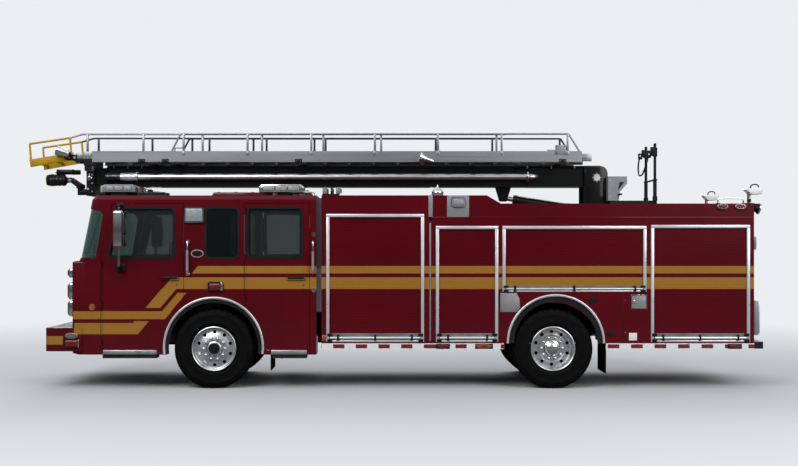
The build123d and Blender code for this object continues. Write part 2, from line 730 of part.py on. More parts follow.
# Steps under the cab doors and the tailboard
step_depth = 45.0
cab_steps = (
    (front_axle_x + arch_radius + arch_band + 87, front_door_x - 27),
    (rear_door_rear_x + 36, front_flap_x),
)
with BuildPart() as steps:
    tailboard_half = half_width - 40
    tailboard_z = (box_bottom_z - rub_rail_height, box_bottom_z + 18)
    block((tailboard_rear_x, body_rear_x), (-tailboard_half, tailboard_half), tailboard_z)
    block((body_rear_x - 1, rail_rear_x), (-rail_y, rail_y), (tailboard_z[0], rail_top_z - rail_height))
    for side in sides.values():
        for run in cab_steps:
            y = side_pair(half_width - 170, half_width + 30, side)
            block(run, y, (cab_bottom_z - step_depth, cab_bottom_z))
save(steps, "steps")

# Side lamps, marker lamps and tail lamps: rear X, front X, low Z, high Z
side_lamps = (
    (2462.0, 2723.0, 2233.0, 2440.0),
    (2206.0, 2404.0, 1316.0, 1432.0),
    (-1048.0, -874.0, 2450.0, 2572.0),
    (-4828.0, -4672.0, 2418.0, 2490.0),
    (-4586.0, -4432.0, 2418.0, 2490.0),
)
lamp_depth = 35.0
tail_lamp_y = (1000.0, 1160.0)
with BuildPart() as lamps:
    for side in sides.values():
        for x0, x1, z0, z1 in side_lamps:
            block((x0, x1), side_pair(half_width, half_width + lamp_depth, side), (z0, z1))
        for z in (1960.0, 1760.0, 1560.0):
            block((body_rear_x - lamp_depth, body_rear_x), side_pair(*tail_lamp_y, side), (z - 75, z + 75))
save(lamps, "lamps")

# Light bars on the cab roof: rear X, front X, inner Y of the lens body
bar_bottom_z = cab_roof_z + 50
bar_top_z = 2750.0
bar_chamfer = 30.0
roof_bars = ((3406.0, 3864.0, 250.0), (1133.0, 1732.0, 500.0))
with BuildPart() as light_bars:
    for x0, x1, inner in roof_bars:
        for side in sides.values():
            lens = (
                (x0, bar_bottom_z), (x0, bar_top_z - bar_chamfer), (x0 + bar_chamfer, bar_top_z),
                (x1 - bar_chamfer, bar_top_z), (x1, bar_top_z - bar_chamfer), (x1, bar_bottom_z),
            )
            side_prism(lens, side_pair(inner, 1130, side))
            foot = ((x0 + x1) / 2 - 110, (x0 + x1) / 2 + 110)
            block(foot, side_pair(inner + 50, 1080, side), (cab_roof_z, bar_bottom_z + 1))
save(light_bars, "light_bars")

# Roof fittings: low hump, chrome-edged boxes and the domes over the body front
with BuildPart() as roof_fittings:
    block((1508, 2489), (-400, 400), (cab_roof_z, cab_roof_z + 72))
    for side in sides.values():
        block((3021, 3383), side_pair(700, 1000, side), (cab_roof_z, cab_roof_z + 47))
        rod_z(-693, side * 900, (deck_z, bar_top_z), 79)
save(roof_fittings, "roof_fittings")

# Cradle that the boom rests over: feet in the module's well, a saddle plate, blocks and a post
cradle_x = 788.0
cradle_plate_z = 2645.0
with BuildPart() as boom_cradle:
    block((cradle_x - 100, cradle_x + 50), (-420, 420), (module_well_z, module_well_z + 40))
    block((cradle_x - 133, cradle_x + 133), (-270, 270), (cradle_plate_z, cradle_plate_z + 18))
    for side in sides.values():
        foot_z = (module_well_z + 39, cradle_plate_z + 1)
        block((cradle_x - 90, cradle_x + 20), side_pair(160, 260, side), foot_z)
        for end in (-96.0, 96.0):
            pad_x = (cradle_x + end - 31, cradle_x + end + 31)
            block(pad_x, side_pair(175, 235, side), (cradle_plate_z + 17, bar_top_z + 2))
        block((cradle_x - 15, cradle_x + 15), side_pair(185, 225, side), (cradle_plate_z + 17, bar_top_z + 5))
save(boom_cradle, "boom_cradle")

# Grab handles on the cab, rails on the rear of the body
grab_radius = 16.0
grab_reach = 60.0
cab_grabs = ((2680.0, 1522.0, 2002.0), (985.0, 1300.0, 2100.0))
rear_rail_x = body_rear_x - 70
rear_rail_z = (700.0, 2300.0)
with BuildPart() as grab_handles:
    for side in sides.values():
        for x, z0, z1 in cab_grabs:
            rod_z(x, side * (half_width + grab_reach), (z0, z1), grab_radius)
            for z in (z0 + 25, z1 - 25):
                rod_y(x, z, side_pair(half_width, half_width + grab_reach, side), grab_radius - 2)
        rod_z(rear_rail_x, side * 700, rear_rail_z, grab_radius)
        for z in (rear_rail_z[0] + 40, rear_rail_z[1] - 40):
            rod_x(side * 700, z, (rear_rail_x, body_rear_x), grab_radius - 2)
save(grab_handles, "grab_handles")

with BuildPart() as mud_flaps:
    for side in sides.values():
        y = side_pair(560, half_width - rub_rail_depth - 10, side)
        block((rear_flap_x - flap_thickness, rear_flap_x), y, (200, box_bottom_z))
        block((front_flap_x, front_flap_x + flap_thickness), y, (240, cab_bottom_z))
save(mud_flaps, "mud_flaps")

# Floodlight at each rear corner: a post and a tilted head
flood_x = body_rear_x + 38.0
flood_head = ((-4801, 2640), (-4801, 2735), (-5050, 2740), (-5070, 2625), (-5055, 2600))
with BuildPart() as floodlight:
    for side in sides.values():
        rod_z(flood_x, side * 1100, (body_top_z, 2660), 20)
        side_prism(flood_head, side_pair(1010, 1190, side))
save(floodlight, "floodlight")

# Turntable: fixed ring, turret with rounded cheeks and the pivot pin
with BuildPart() as turntable_ring:
    rod_z(turn_x, 0, (deck_z, turret_plate_z - seat_gap), 520)
    rod_z(turn_x, 0, (deck_z - 1, turret_plate_z + 1), 300, Mode.SUBTRACT)
save(turntable_ring, "turntable_ring")

plate_top_z = turret_plate_z + turret_plate_thickness
cheek_x = (-3145.0, -2811.0)
cheek_top_z = 3062.0
boss_radius = 75.0
barrel_pin_x = pivot_x + barrel_x
barrel_pin_z = pivot_z - barrel_drop
lug_pin_x = pivot_x + lug_x
lug_pin_z = pivot_z - lug_drop
with BuildPart() as turret:
    rod_z(turn_x, 0, (turret_plate_z, plate_top_z), turret_plate_radius)
    for side in sides.values():
        y = side_pair(cheek_y, cheek_y + cheek_thickness, side)
        with BuildSketch(Plane.XZ.offset(-y[0])) as cheek:
            with BuildLine():
                Polyline(*box_outline(cheek_x, (plate_top_z - 1, cheek_top_z)), close=True)
            make_face()
            top_rear, top_front = cheek.vertices().group_by(Axis.Y)[-1].sort_by(Axis.X)
            fillet(top_rear, 140)
            fillet(top_front, 60)
        extrude(cheek.sketch, amount=-cheek_thickness)
        boss_y = side_pair(cheek_y + cheek_thickness - 1, cheek_y + 60, side)
        rod_y(pivot_x, pivot_z, boss_y, boss_radius)
    rod_y(pivot_x, pivot_z, (-cheek_y - 1, cheek_y + 1), pivot_pin_radius)
save(turret, "turret")

# Platform behind the turret, with its arms and stanchions
platform_z = (2522.0, 2562.0)
stanchion_x = -3805.0
stanchion_top_z = 3370.0
with BuildPart() as turntable_platform:
    with BuildSketch(Plane.XY.offset(platform_z[0])) as platform_plan:
        with BuildLine():
            Polyline(
                (-3150, -420), (-3700, -420), (-3825, -340), (-3825, 340), (-3700, 420), (-3150, 420),
                close=True,
            )
        make_face()
    extrude(amount=platform_z[1] - platform_z[0])
    for side in sides.values():
        block((-3600, -3150), side_pair(236, 276, side), (plate_top_z, platform_z[0] + 1))
        for reach, top in ((34.0, platform_z[1] + 60), (26.0, platform_z[1] + 300), (20.0, stanchion_top_z)):
            rod_z(stanchion_x, side * 300, (platform_z[1] - 1, top), reach)
save(turntable_platform, "turntable_platform")

console_outline = (
    (-3124, platform_z[1]), (-3273, platform_z[1]), (-3290, 2690),
    (-3392, 2800), (-3392, 2904), (-3124, 2904),
)
with BuildPart() as console:
    side_prism(console_outline, (245, 400))
save(console, "console")

# Base boom: box tube with collar, bearing bosses and cylinder lugs
fly_half = boom_half_width - boom_wall - fly_gap
fly_bottom_z = boom_bottom_z + boom_wall + fly_gap
fly_top_z = boom_top_z - boom_wall - fly_gap
with BuildPart() as base_boom:
    block((boom_rear_x, boom_front_x), (-boom_half_width, boom_half_width), (boom_bottom_z, boom_top_z))
    collar_y = cheek_y - move_gap
    block((boom_rear_x, boom_collar_front_x), (-collar_y, collar_y), (boom_bottom_z, boom_top_z))
    edges_up = base_boom.edges().filter_by(Axis.Y).group_by(Axis.X)[0].sort_by(Axis.Z)[-1:]
    fillet(edges_up, 130)
    bore_y = boom_half_width - boom_wall
    bore_z = (boom_bottom_z + boom_wall, boom_top_z - boom_wall)
    block((boom_rear_x + 390, boom_front_x + 1), (-bore_y, bore_y), bore_z, Mode.SUBTRACT)
    block((boom_front_x - 60, boom_front_x), (-bore_y - 1, bore_y + 1), (bore_z[0] - 1, bore_z[1] + 1))
    neck_y = fly_half + seat_gap
    neck_z = (fly_bottom_z - seat_gap, fly_top_z + seat_gap)
    block((boom_front_x - 61, boom_front_x + 1), (-neck_y, neck_y), neck_z, Mode.SUBTRACT)
    rod_y(pivot_x, pivot_z, (-collar_y - 1, collar_y + 1), pivot_pin_radius + pin_gap, Mode.SUBTRACT)
    for side in sides.values():
        inner = eye_width / 2 + lug_space
        outer = inner + lug_thickness
        lug = (
            (lug_pin_x - 110, boom_bottom_z + 1), (lug_pin_x - 50, lug_pin_z - 50),
            (lug_pin_x + 50, lug_pin_z - 50), (lug_pin_x + 110, boom_bottom_z + 1),
        )
        side_prism(lug, side_pair(inner, outer, side))
        rod_y(lug_pin_x, lug_pin_z, side_pair(outer - 1, outer + 14, side), 38)
save(base_boom, "base_boom")

# Water pipe along the boom with its couplings and brackets
pipe_y = boom_half_width + 75
pipe_z = 2905.0
pipe_runs = ((-1990.0, 3548.0, 43.0), (3547.0, 3776.0, 56.0), (3775.0, 4003.0, 50.0))
pipe_brackets = (-1500.0, 0.0, 1500.0, 3000.0, 3880.0)
with BuildPart() as waterway:
    for x0, x1, radius in pipe_runs:
        rod_x(pipe_y, pipe_z, (x0, x1), radius)
    for x in pipe_brackets:
        block((x - 30, x + 30), (boom_half_width, pipe_y), (pipe_z - 30, pipe_z + 30))
save(waterway, "waterway")

# Base ladder: chord and web rails, rungs, saddles, and handrails that slope down at their ends
saddles = (-2430.0, 1180.0, 2960.0, 3300.0)
base_posts = (2870.0, 1967.0, 1067.0, 172.0, -723.0, -1620.0, -2553.0)
base_handrail = ((3044.0, 3241.0), (2907.0, handrail_z), (-2563.0, handrail_z), (-2723.0, 3244.0))
with BuildPart() as base_ladder:
    span = (ladder_rear_x, ladder_front_x)
    inner = ladder_rail_y - ladder_rail_width
    for side in sides.values():
        block(span, side_pair(inner, ladder_rail_y, side), (ladder_bottom_z, ladder_bottom_z + ladder_chord))
        web = side_pair(ladder_rail_y - ladder_web, ladder_rail_y, side)
        block(span, web, (ladder_bottom_z, ladder_top_z))
        block(span, side_pair(inner, ladder_rail_y, side), (ladder_top_z - ladder_web, ladder_top_z))
        post_y = side * (ladder_rail_y - post_width / 2)
        post_pair = (post_y - post_width / 2, post_y + post_width / 2)
        for x in base_posts:
            block((x - post_width / 2, x + post_width / 2), post_pair, (ladder_top_z - 5, handrail_z))
        for start, end in zip(base_handrail, base_handrail[1:]):
            slant(start, end, post_y, handrail_thickness)
    rung_count = int((ladder_front_x - ladder_rear_x - 200) // rung_pitch)
    rung_z = ladder_bottom_z + ladder_chord / 2
    for index in range(rung_count + 1):
        x = ladder_rear_x + 100 + index * rung_pitch
        rung_x = (x - rung_half, x + rung_half)
        block(rung_x, (-inner - 1, inner + 1), (rung_z - rung_half, rung_z + rung_half))
    for x in saddles:
        block((x - 45, x + 45), (-ladder_rail_y, ladder_rail_y), (boom_top_z, ladder_bottom_z + 1))
save(base_ladder, "base_ladder")

# Fly boom with the wear pads at its rear end
with BuildPart() as fly_boom:
    block((fly_rear_x, head_x), (-fly_half, fly_half), (fly_bottom_z, fly_top_z))
    inner = fly_half - fly_wall
    hollow_z = (fly_bottom_z + fly_wall, fly_top_z - fly_wall)
    pad_y = boom_half_width - boom_wall - seat_gap
    pad_z = (boom_bottom_z + boom_wall + seat_gap, boom_top_z - boom_wall - seat_gap)
    block((fly_rear_x, fly_rear_x + 120), (-pad_y, pad_y), pad_z)
    block((fly_rear_x - 1, head_x + 1), (-inner, inner), hollow_z, Mode.SUBTRACT)
save(fly_boom, "fly_boom")

# Boom head: end plate, ladder feet and the monitor's pipe and seat
monitor_yaw_x = 4420.0
monitor_pitch_x = 4560.0
monitor_z = 2871.0
monitor_seat_z = monitor_z - 93.0
seat_post_radius = 28.0
with BuildPart() as boom_head:
    head = (head_x, head_x + head_thickness)
    block(head, (-200, 200), (2640, 3120))
    block(head, (-fly_rail_y, fly_rail_y), (3060, 3130))
    for side in sides.values():
        block(head, side_pair(199, fly_rail_y, side), (3129, fly_rail_bottom_z))
    rod_x(0, 2700, (head_x + head_thickness - 1, monitor_yaw_x), 45)
    rod_z(monitor_yaw_x, 0, (2655, monitor_seat_z), 45)
    rod_z(monitor_yaw_x, 0, (monitor_seat_z - 24, monitor_seat_z), 66)
    rod_z(monitor_yaw_x, 0, (monitor_seat_z - 1, monitor_seat_z + 20), seat_post_radius)
save(boom_head, "boom_head")

# Monitor elbow: turning base with two cheeks that carry the nozzle
nozzle_pin_radius = 20.0
with BuildPart() as monitor_elbow:
    seat = monitor_seat_z + seat_gap
    rod_z(monitor_yaw_x, 0, (seat, seat + 28), 64)
    rod_z(monitor_yaw_x, 0, (seat - 1, seat + 22), seat_post_radius + pin_gap, Mode.SUBTRACT)
    cheek_outline = (
        (monitor_yaw_x - 40, seat + 20), (monitor_yaw_x - 30, seat + 30),
        (monitor_pitch_x - 22, monitor_z + 36), (monitor_pitch_x + 34, monitor_z + 30),
        (monitor_pitch_x + 34, monitor_z - 20), (monitor_pitch_x - 10, monitor_z - 34),
        (monitor_yaw_x + 60, seat + 4),
    )
    for side in sides.values():
        side_prism(cheek_outline, side_pair(58, 76, side))
        through = side_pair(50, 80, side)
        rod_y(monitor_pitch_x, monitor_z, through, nozzle_pin_radius + pin_gap, Mode.SUBTRACT)
    block((monitor_yaw_x - 40, monitor_yaw_x + 20), (-76, 76), (seat + 23.9, seat + 30))
save(monitor_elbow, "monitor_elbow")

# Monitor nozzle: turned barrel with an open mouth, its pin and the pattern actuator above
nozzle_mouth_x = 4900.0
with BuildPart() as monitor_nozzle:
    with BuildSketch(Plane.XZ) as profile:
        with BuildLine():
            Polyline(
                (monitor_pitch_x - 20, monitor_z), (monitor_pitch_x - 20, monitor_z + 36),
                (monitor_pitch_x + 50, monitor_z + 40), (monitor_pitch_x + 80, monitor_z + 79),
                (nozzle_mouth_x - 40, monitor_z + 79), (nozzle_mouth_x, monitor_z + 66),
                (nozzle_mouth_x, monitor_z + 50), (nozzle_mouth_x - 90, monitor_z + 38),
                (nozzle_mouth_x - 90, monitor_z), close=True,
            )
        make_face()
    revolve(axis=Axis((0, 0, monitor_z), (1, 0, 0)))
    rod_y(monitor_pitch_x, monitor_z, (-76, 76), nozzle_pin_radius)
    block((monitor_pitch_x + 90, monitor_pitch_x + 150), (-25, 25), (monitor_z + 60, monitor_z + 118))
    rod_x(0, monitor_z + 117, (monitor_pitch_x - 40, monitor_pitch_x + 203), 37)
save(monitor_nozzle, "monitor_nozzle")

# Fly ladder: rails with sliding shoes, posts, handrails and rungs
fly_posts = (4239.0, 3448.0, 2609.0, 1768.0, 900.0, 82.0, -720.0, -1552.0)
fly_handrail_x = (4290.0, -1679.0)
shoe_x = (-1680.0, -1500.0)
fly_rail_inner = fly_rail_y - fly_rail_width
fly_post_y = fly_rail_y - fly_rail_width / 2
with BuildPart() as fly_ladder:
    for side in sides.values():
        rail = side_pair(fly_rail_inner, fly_rail_y, side)
        block((fly_ladder_rear_x, fly_ladder_front_x), rail, (fly_rail_bottom_z, fly_rail_top_z))
        shoe_y = side_pair(fly_rail_inner, ladder_rail_y - ladder_web - seat_gap, side)
        shoe_z = (ladder_bottom_z + ladder_chord + seat_gap, ladder_top_z - ladder_web - seat_gap)
        block(shoe_x, shoe_y, shoe_z)
        y = side * fly_post_y
        for x in fly_posts:
            post_x = (x - post_width / 2, x + post_width / 2)
            block(post_x, (y - post_width / 2, y + post_width / 2), (fly_rail_top_z - 5, fly_handrail_z))
        slant((fly_handrail_x[0], fly_handrail_z), (fly_handrail_x[1], fly_handrail_z), y, handrail_thickness)
    fly_rungs = int((fly_ladder_front_x - fly_ladder_rear_x - 200) // rung_pitch)
    rung_z = (fly_rail_bottom_z + fly_rail_top_z) / 2
    for index in range(fly_rungs + 1):
        x = fly_ladder_rear_x + 100 + index * rung_pitch
        rung_x = (x - rung_half, x + rung_half)
        reach = fly_rail_inner + 1
        block(rung_x, (-reach, reach), (rung_z - rung_half, rung_z + rung_half))
save(fly_ladder, "fly_ladder")

# Yellow tip: side plates that slope down, three rungs and sloping handrails
tip_reach = tip_front_x - fly_ladder_front_x
tip_drop = tip_reach * tan(radians(tip_slope))
tip_top_z = fly_rail_top_z + 30
tip_bottom_z = tip_top_z - 95
tip_rail = ((fly_ladder_front_x + 16, 3490.0), (tip_front_x - 3, 3366.0))
with BuildPart() as ladder_tip:
    for side in sides.values():
        plate = (
            (fly_ladder_front_x, tip_bottom_z), (fly_ladder_front_x, tip_top_z),
            (tip_front_x, tip_top_z - tip_drop), (tip_front_x, tip_bottom_z - tip_drop),
        )
        side_prism(plate, side_pair(fly_rail_inner, fly_rail_y, side))
        y = side * fly_post_y
        slant(tip_rail[0], tip_rail[1], y, handrail_thickness)
        for share in (0.12, 0.9):
            x = fly_ladder_front_x + share * tip_reach
            foot_z = tip_top_z - share * tip_drop - 20
            post_x = (x - post_width / 2, x + post_width / 2)
            block(post_x, (y - post_width / 2, y + post_width / 2), (foot_z, foot_z + 240))
    for share in (0.12, 0.5, 0.9):
        x = fly_ladder_front_x + share * tip_reach
        z = (tip_top_z + tip_bottom_z) / 2 - share * tip_drop
        reach = fly_rail_inner + 1
        block((x - rung_half, x + rung_half), (-reach, reach), (z - rung_half, z + rung_half))
save(ladder_tip, "ladder_tip")

# Lift cylinder: barrel on the turret, rod to the boom lugs
closed_length = sqrt((lug_x - barrel_x) ** 2 + (barrel_drop - lug_drop) ** 2)
cylinder_axis = Vector(lug_x - barrel_x, 0, barrel_drop - lug_drop).normalized()
cylinder_plane = Plane(origin=(barrel_pin_x, 0, barrel_pin_z), x_dir=(0, 1, 0), z_dir=cylinder_axis)
tube_start = 86.0
bore_start = 110.0
gland_length = 40.0
rod_start = 140.0
barrel_pin_radius = 30.0
barrel_end = closed_length - 150
with BuildPart() as lift_barrel:
    with BuildSketch(cylinder_plane.offset(tube_start)) as tube:
        Circle(barrel_radius)
    extrude(amount=barrel_end - tube_start)
    with BuildSketch(cylinder_plane) as neck:
        Circle(28)
    extrude(amount=tube_start + 4)
    with BuildSketch(cylinder_plane.offset(bore_start)) as bore:
        Circle(barrel_bore)
    extrude(amount=barrel_end - bore_start - gland_length, mode=Mode.SUBTRACT)
    with BuildSketch(cylinder_plane.offset(bore_start)) as gland:
        Circle(rod_radius + pin_gap)
    extrude(amount=barrel_end - bore_start + 5, mode=Mode.SUBTRACT)
    eye_y = (-eye_width / 2, eye_width / 2)
    rod_y(barrel_pin_x, barrel_pin_z, eye_y, 50)
    over_y = (eye_y[0] - 1, eye_y[1] + 1)
    rod_y(barrel_pin_x, barrel_pin_z, over_y, barrel_pin_radius + pin_gap, Mode.SUBTRACT)
save(lift_barrel, "lift_barrel")

with BuildPart() as lift_rod:
    with BuildSketch(cylinder_plane.offset(rod_start)) as rod:
        Circle(rod_radius)
    extrude(amount=closed_length - rod_start - 30)
    rod_y(lug_pin_x, lug_pin_z, (-eye_width / 2, eye_width / 2), eye_radius)
save(lift_rod, "lift_rod")

# Barrel bracket and pin on the turret
with BuildPart() as barrel_bracket:
    for side in sides.values():
        inner = eye_width / 2 + 6
        cheek_span = (barrel_pin_x - 55, barrel_pin_x + 55)
        block(cheek_span, side_pair(inner, inner + 24, side), (plate_top_z, barrel_pin_z + 50))
    pin_reach = eye_width / 2 + 10
    rod_y(barrel_pin_x, barrel_pin_z, (-pin_reach, pin_reach), barrel_pin_radius)
save(barrel_bracket, "barrel_bracket")

# Knuckles: clevis round the axle eye, spindle outwards
arm_top = 172.0
kingpin_radius = 24.0
spindle_end_y = wheel_face_y - 120
with BuildPart() as knuckle:
    web_y = (kingpin_y + 64, kingpin_y + 94)
    block((front_axle_x - 55, front_axle_x + 55), web_y, (axle_z - arm_top, axle_z + arm_top))
    for low, high in ((eye_half + move_gap, arm_top), (-arm_top, -eye_half - move_gap)):
        rod_z(front_axle_x, kingpin_y, (axle_z + low, axle_z + high), 55)
        block((front_axle_x - 50, front_axle_x + 50), (kingpin_y, web_y[1]), (axle_z + low, axle_z + high))
    bore_z = (axle_z - arm_top - 4, axle_z + arm_top + 4)
    rod_z(front_axle_x, kingpin_y, bore_z, kingpin_radius + pin_gap, Mode.SUBTRACT)
    rod_y(front_axle_x, axle_z, (web_y[1] - 4, spindle_end_y), spindle_radius)
save(knuckle, "knuckle_left")
with BuildPart() as knuckle_mirror:
    add(mirror(knuckle.part, about=Plane.XZ))
save(knuckle_mirror, "knuckle_right")


def tyre_ring(inner_y, outer_y):
    """A tyre between two Y faces, turned about the wheel's axis."""
    edge = 0.1 * (outer_y - inner_y)
    with BuildSketch(Plane.YZ) as section:
        with BuildLine():
            Polyline(
                (inner_y + edge, rim_radius + 1), (inner_y, rim_radius + 130), (inner_y + edge, tyre_radius),
                (outer_y - edge, tyre_radius), (outer_y, rim_radius + 130), (outer_y - edge, rim_radius + 1),
                close=True,
            )
        make_face()
    revolve(section.sketch, axis=Axis((0, 0, 0), (0, 1, 0)))


def rim_ring(inner_y, outer_y, disc_y):
    """A rim with its disc, turned about the wheel's axis."""
    low = disc_y - disc_half
    high = disc_y + disc_half
    with BuildSketch(Plane.YZ) as section:
        with BuildLine():
            Polyline(
                (inner_y, rim_radius), (outer_y, rim_radius), (outer_y, rim_radius - 24),
                (high, rim_radius - 34), (high, hub_radius), (low, hub_radius),
                (low, rim_radius - 34), (inner_y, rim_radius - 24), close=True,
            )
        make_face()
    revolve(section.sketch, axis=Axis((0, 0, 0), (0, 1, 0)))


# Wheels: name, axle X, tyres from the outer one, disc Y, hub's inner Y
rear_tyres = (
    (wheel_face_y - rear_tyre_width, wheel_face_y),
    (wheel_face_y - 2 * rear_tyre_width - twin_space, wheel_face_y - rear_tyre_width - twin_space),
)
front_tyres = ((wheel_face_y - front_tyre_width, wheel_face_y),)
rim_inset = 25.0
drum_radius = 190.0
drum_wall = 15.0
wheel_table = (
    ("front", front_axle_x, front_tyres, front_disc_y, front_disc_y - 160),
    ("rear", rear_axle_x, rear_tyres, rear_disc_y, rear_tyres[1][0] + 60),
)
for name, x, tyres, disc_y, hub_start in wheel_table:
    with BuildPart() as turned:
        for inner_y, outer_y in tyres:
            tyre_ring(inner_y, outer_y)
    with BuildPart() as rims:
        for inner_y, outer_y in tyres:
            own_disc_y = disc_y if outer_y == wheel_face_y else outer_y - 40
            rim_ring(inner_y + rim_inset, outer_y - rim_inset, own_disc_y)
        if len(tyres) > 1:
            drum = (tyres[1][1] - 40, disc_y)
            rod_y(0, 0, drum, drum_radius)
            hollow = (drum[0] + disc_half, drum[1] - disc_half)
            rod_y(0, 0, hollow, drum_radius - drum_wall, Mode.SUBTRACT)
        rod_y(0, 0, (hub_start, disc_y + 40), hub_radius + 2)
        rod_y(0, 0, (hub_start - 1, disc_y + 60), spindle_radius + pin_gap, Mode.SUBTRACT)
        disc_plane = Plane(origin=(0, disc_y - disc_half - 1, 0), x_dir=(1, 0, 0), z_dir=(0, 1, 0))
        with BuildSketch(disc_plane) as holes:
            with PolarLocations(hand_hole_circle, hand_holes):
                Circle(hand_hole_radius)
        extrude(amount=2 * disc_half + 2, mode=Mode.SUBTRACT)
    for side_name, side in sides.items():
        with BuildPart() as wheel:
            for piece in (turned.part, rims.part):
                own = piece if side > 0 else mirror(piece, about=Plane.XZ, mode=Mode.PRIVATE)
                add(Location((x, 0, axle_z)) * own)
        save(wheel, "wheel_" + name + "_" + side_name)
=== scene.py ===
# %% [markdown]
# A fire engine with a telescoping water boom. The imported model gives every carrying piece at its
# real place, in metres: +X points forward, +Y to the driver's side, +Z up. This lesson dresses it.
# It starts by loading that model.
# %% The imported model
from math import asin, cos, pi, radians, sin, sqrt

import bmesh
import bpy
from mathutils import Matrix, Vector


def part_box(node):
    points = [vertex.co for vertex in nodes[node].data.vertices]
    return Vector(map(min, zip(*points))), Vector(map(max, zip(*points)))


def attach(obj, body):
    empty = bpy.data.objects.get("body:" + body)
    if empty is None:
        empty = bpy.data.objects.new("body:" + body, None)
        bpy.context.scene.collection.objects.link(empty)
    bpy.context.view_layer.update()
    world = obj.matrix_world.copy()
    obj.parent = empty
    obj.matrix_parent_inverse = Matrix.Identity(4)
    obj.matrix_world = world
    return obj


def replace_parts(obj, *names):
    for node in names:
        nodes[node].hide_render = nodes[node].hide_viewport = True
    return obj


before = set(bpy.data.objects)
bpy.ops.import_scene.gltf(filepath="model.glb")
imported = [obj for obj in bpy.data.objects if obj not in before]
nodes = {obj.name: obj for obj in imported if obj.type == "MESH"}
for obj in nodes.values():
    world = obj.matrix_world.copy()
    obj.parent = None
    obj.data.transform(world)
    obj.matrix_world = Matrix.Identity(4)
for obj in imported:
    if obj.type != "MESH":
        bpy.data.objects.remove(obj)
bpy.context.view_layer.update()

print("pieces in the frame:", len(nodes))

# %% [markdown]
# The photograph was taken square to the driver's side from about 18 m, so the camera looks along
# -Y. Its lens follows from the size of the engine in the picture, and a small shift puts the point
# straight ahead of the camera where the photograph has it.
# %% Camera
image_width, image_height = 798, 466
focal_pixels = 1234.0
sensor_width = 36.0
ahead_px = (384.0, 246.0)
camera_place = Vector((0.041, 17.82, 1.921))


def new_object(name, data):
    """An object that shows some data, linked to the scene."""
    made = bpy.data.objects.new(name, data)
    bpy.context.scene.collection.objects.link(made)
    return made


lens = bpy.data.cameras.new("side_camera")
lens.sensor_width = sensor_width
lens.lens = focal_pixels / image_width * sensor_width
lens.shift_x = (image_width / 2 - ahead_px[0]) / image_width
lens.shift_y = (ahead_px[1] - image_height / 2) / image_width
lens.clip_end = 200.0
camera = new_object("side_camera", lens)
camera.location = camera_place
camera.rotation_euler = (radians(90), 0, radians(180))
bpy.context.scene.camera = camera
bpy.context.scene.view_settings.view_transform = "Standard"
print("lens:", round(lens.lens, 2), "mm")

# %% [markdown]
# The sky, the floor and every finish are node trees. Written out link by link they would fill pages,
# so one helper class adds a node and plugs in numbers or other nodes.
# %% Node trees
class Nodes:
    """A node tree and short ways to add nodes to it."""

    def __init__(self, tree):
        self.tree = tree

    def plug(self, value, socket):
        """Puts a number, a colour or another node's output into a socket."""
        if isinstance(value, bpy.types.NodeSocket):
            self.tree.links.new(value, socket)
        else:
            socket.default_value = value

    def node(self, kind, inputs=(), **settings):
        """Adds a node, with its inputs by name or number and its settings as keywords."""
        made = self.tree.nodes.new(kind)
        for key, value in settings.items():
            setattr(made, key, value)
        for key, value in dict(inputs).items():
            self.plug(value, made.inputs[key])
        return made

    def math(self, how, first, second=0.0):
        """The result of a Math node."""
        return self.node("ShaderNodeMath", {0: first, 1: second}, operation=how).outputs[0]

    def times(self, first, *others):
        """The product of several values."""
        for other in others:
            first = self.math("MULTIPLY", first, other)
        return first

    def between(self, value, low=None, high=None):
        """1 where a value lies between two limits, of which one may be left out."""
        over = None if low is None else self.math("GREATER_THAN", value, low)
        under = None if high is None else self.math("LESS_THAN", value, high)
        return under if low is None else over if high is None else self.times(over, under)

    def spread(self, value, low, high, edges=(0.3, 0.7)):
        """A value brought from one range to another."""
        inputs = {"Value": value, "From Min": edges[0], "From Max": edges[1], "To Min": low, "To Max": high}
        return self.node("ShaderNodeMapRange", inputs).outputs[0]

    def mix(self, share, first, second):
        """One colour, or by its share the other."""
        return self.node("ShaderNodeMix", {0: share, 6: first, 7: second}, data_type="RGBA").outputs[2]


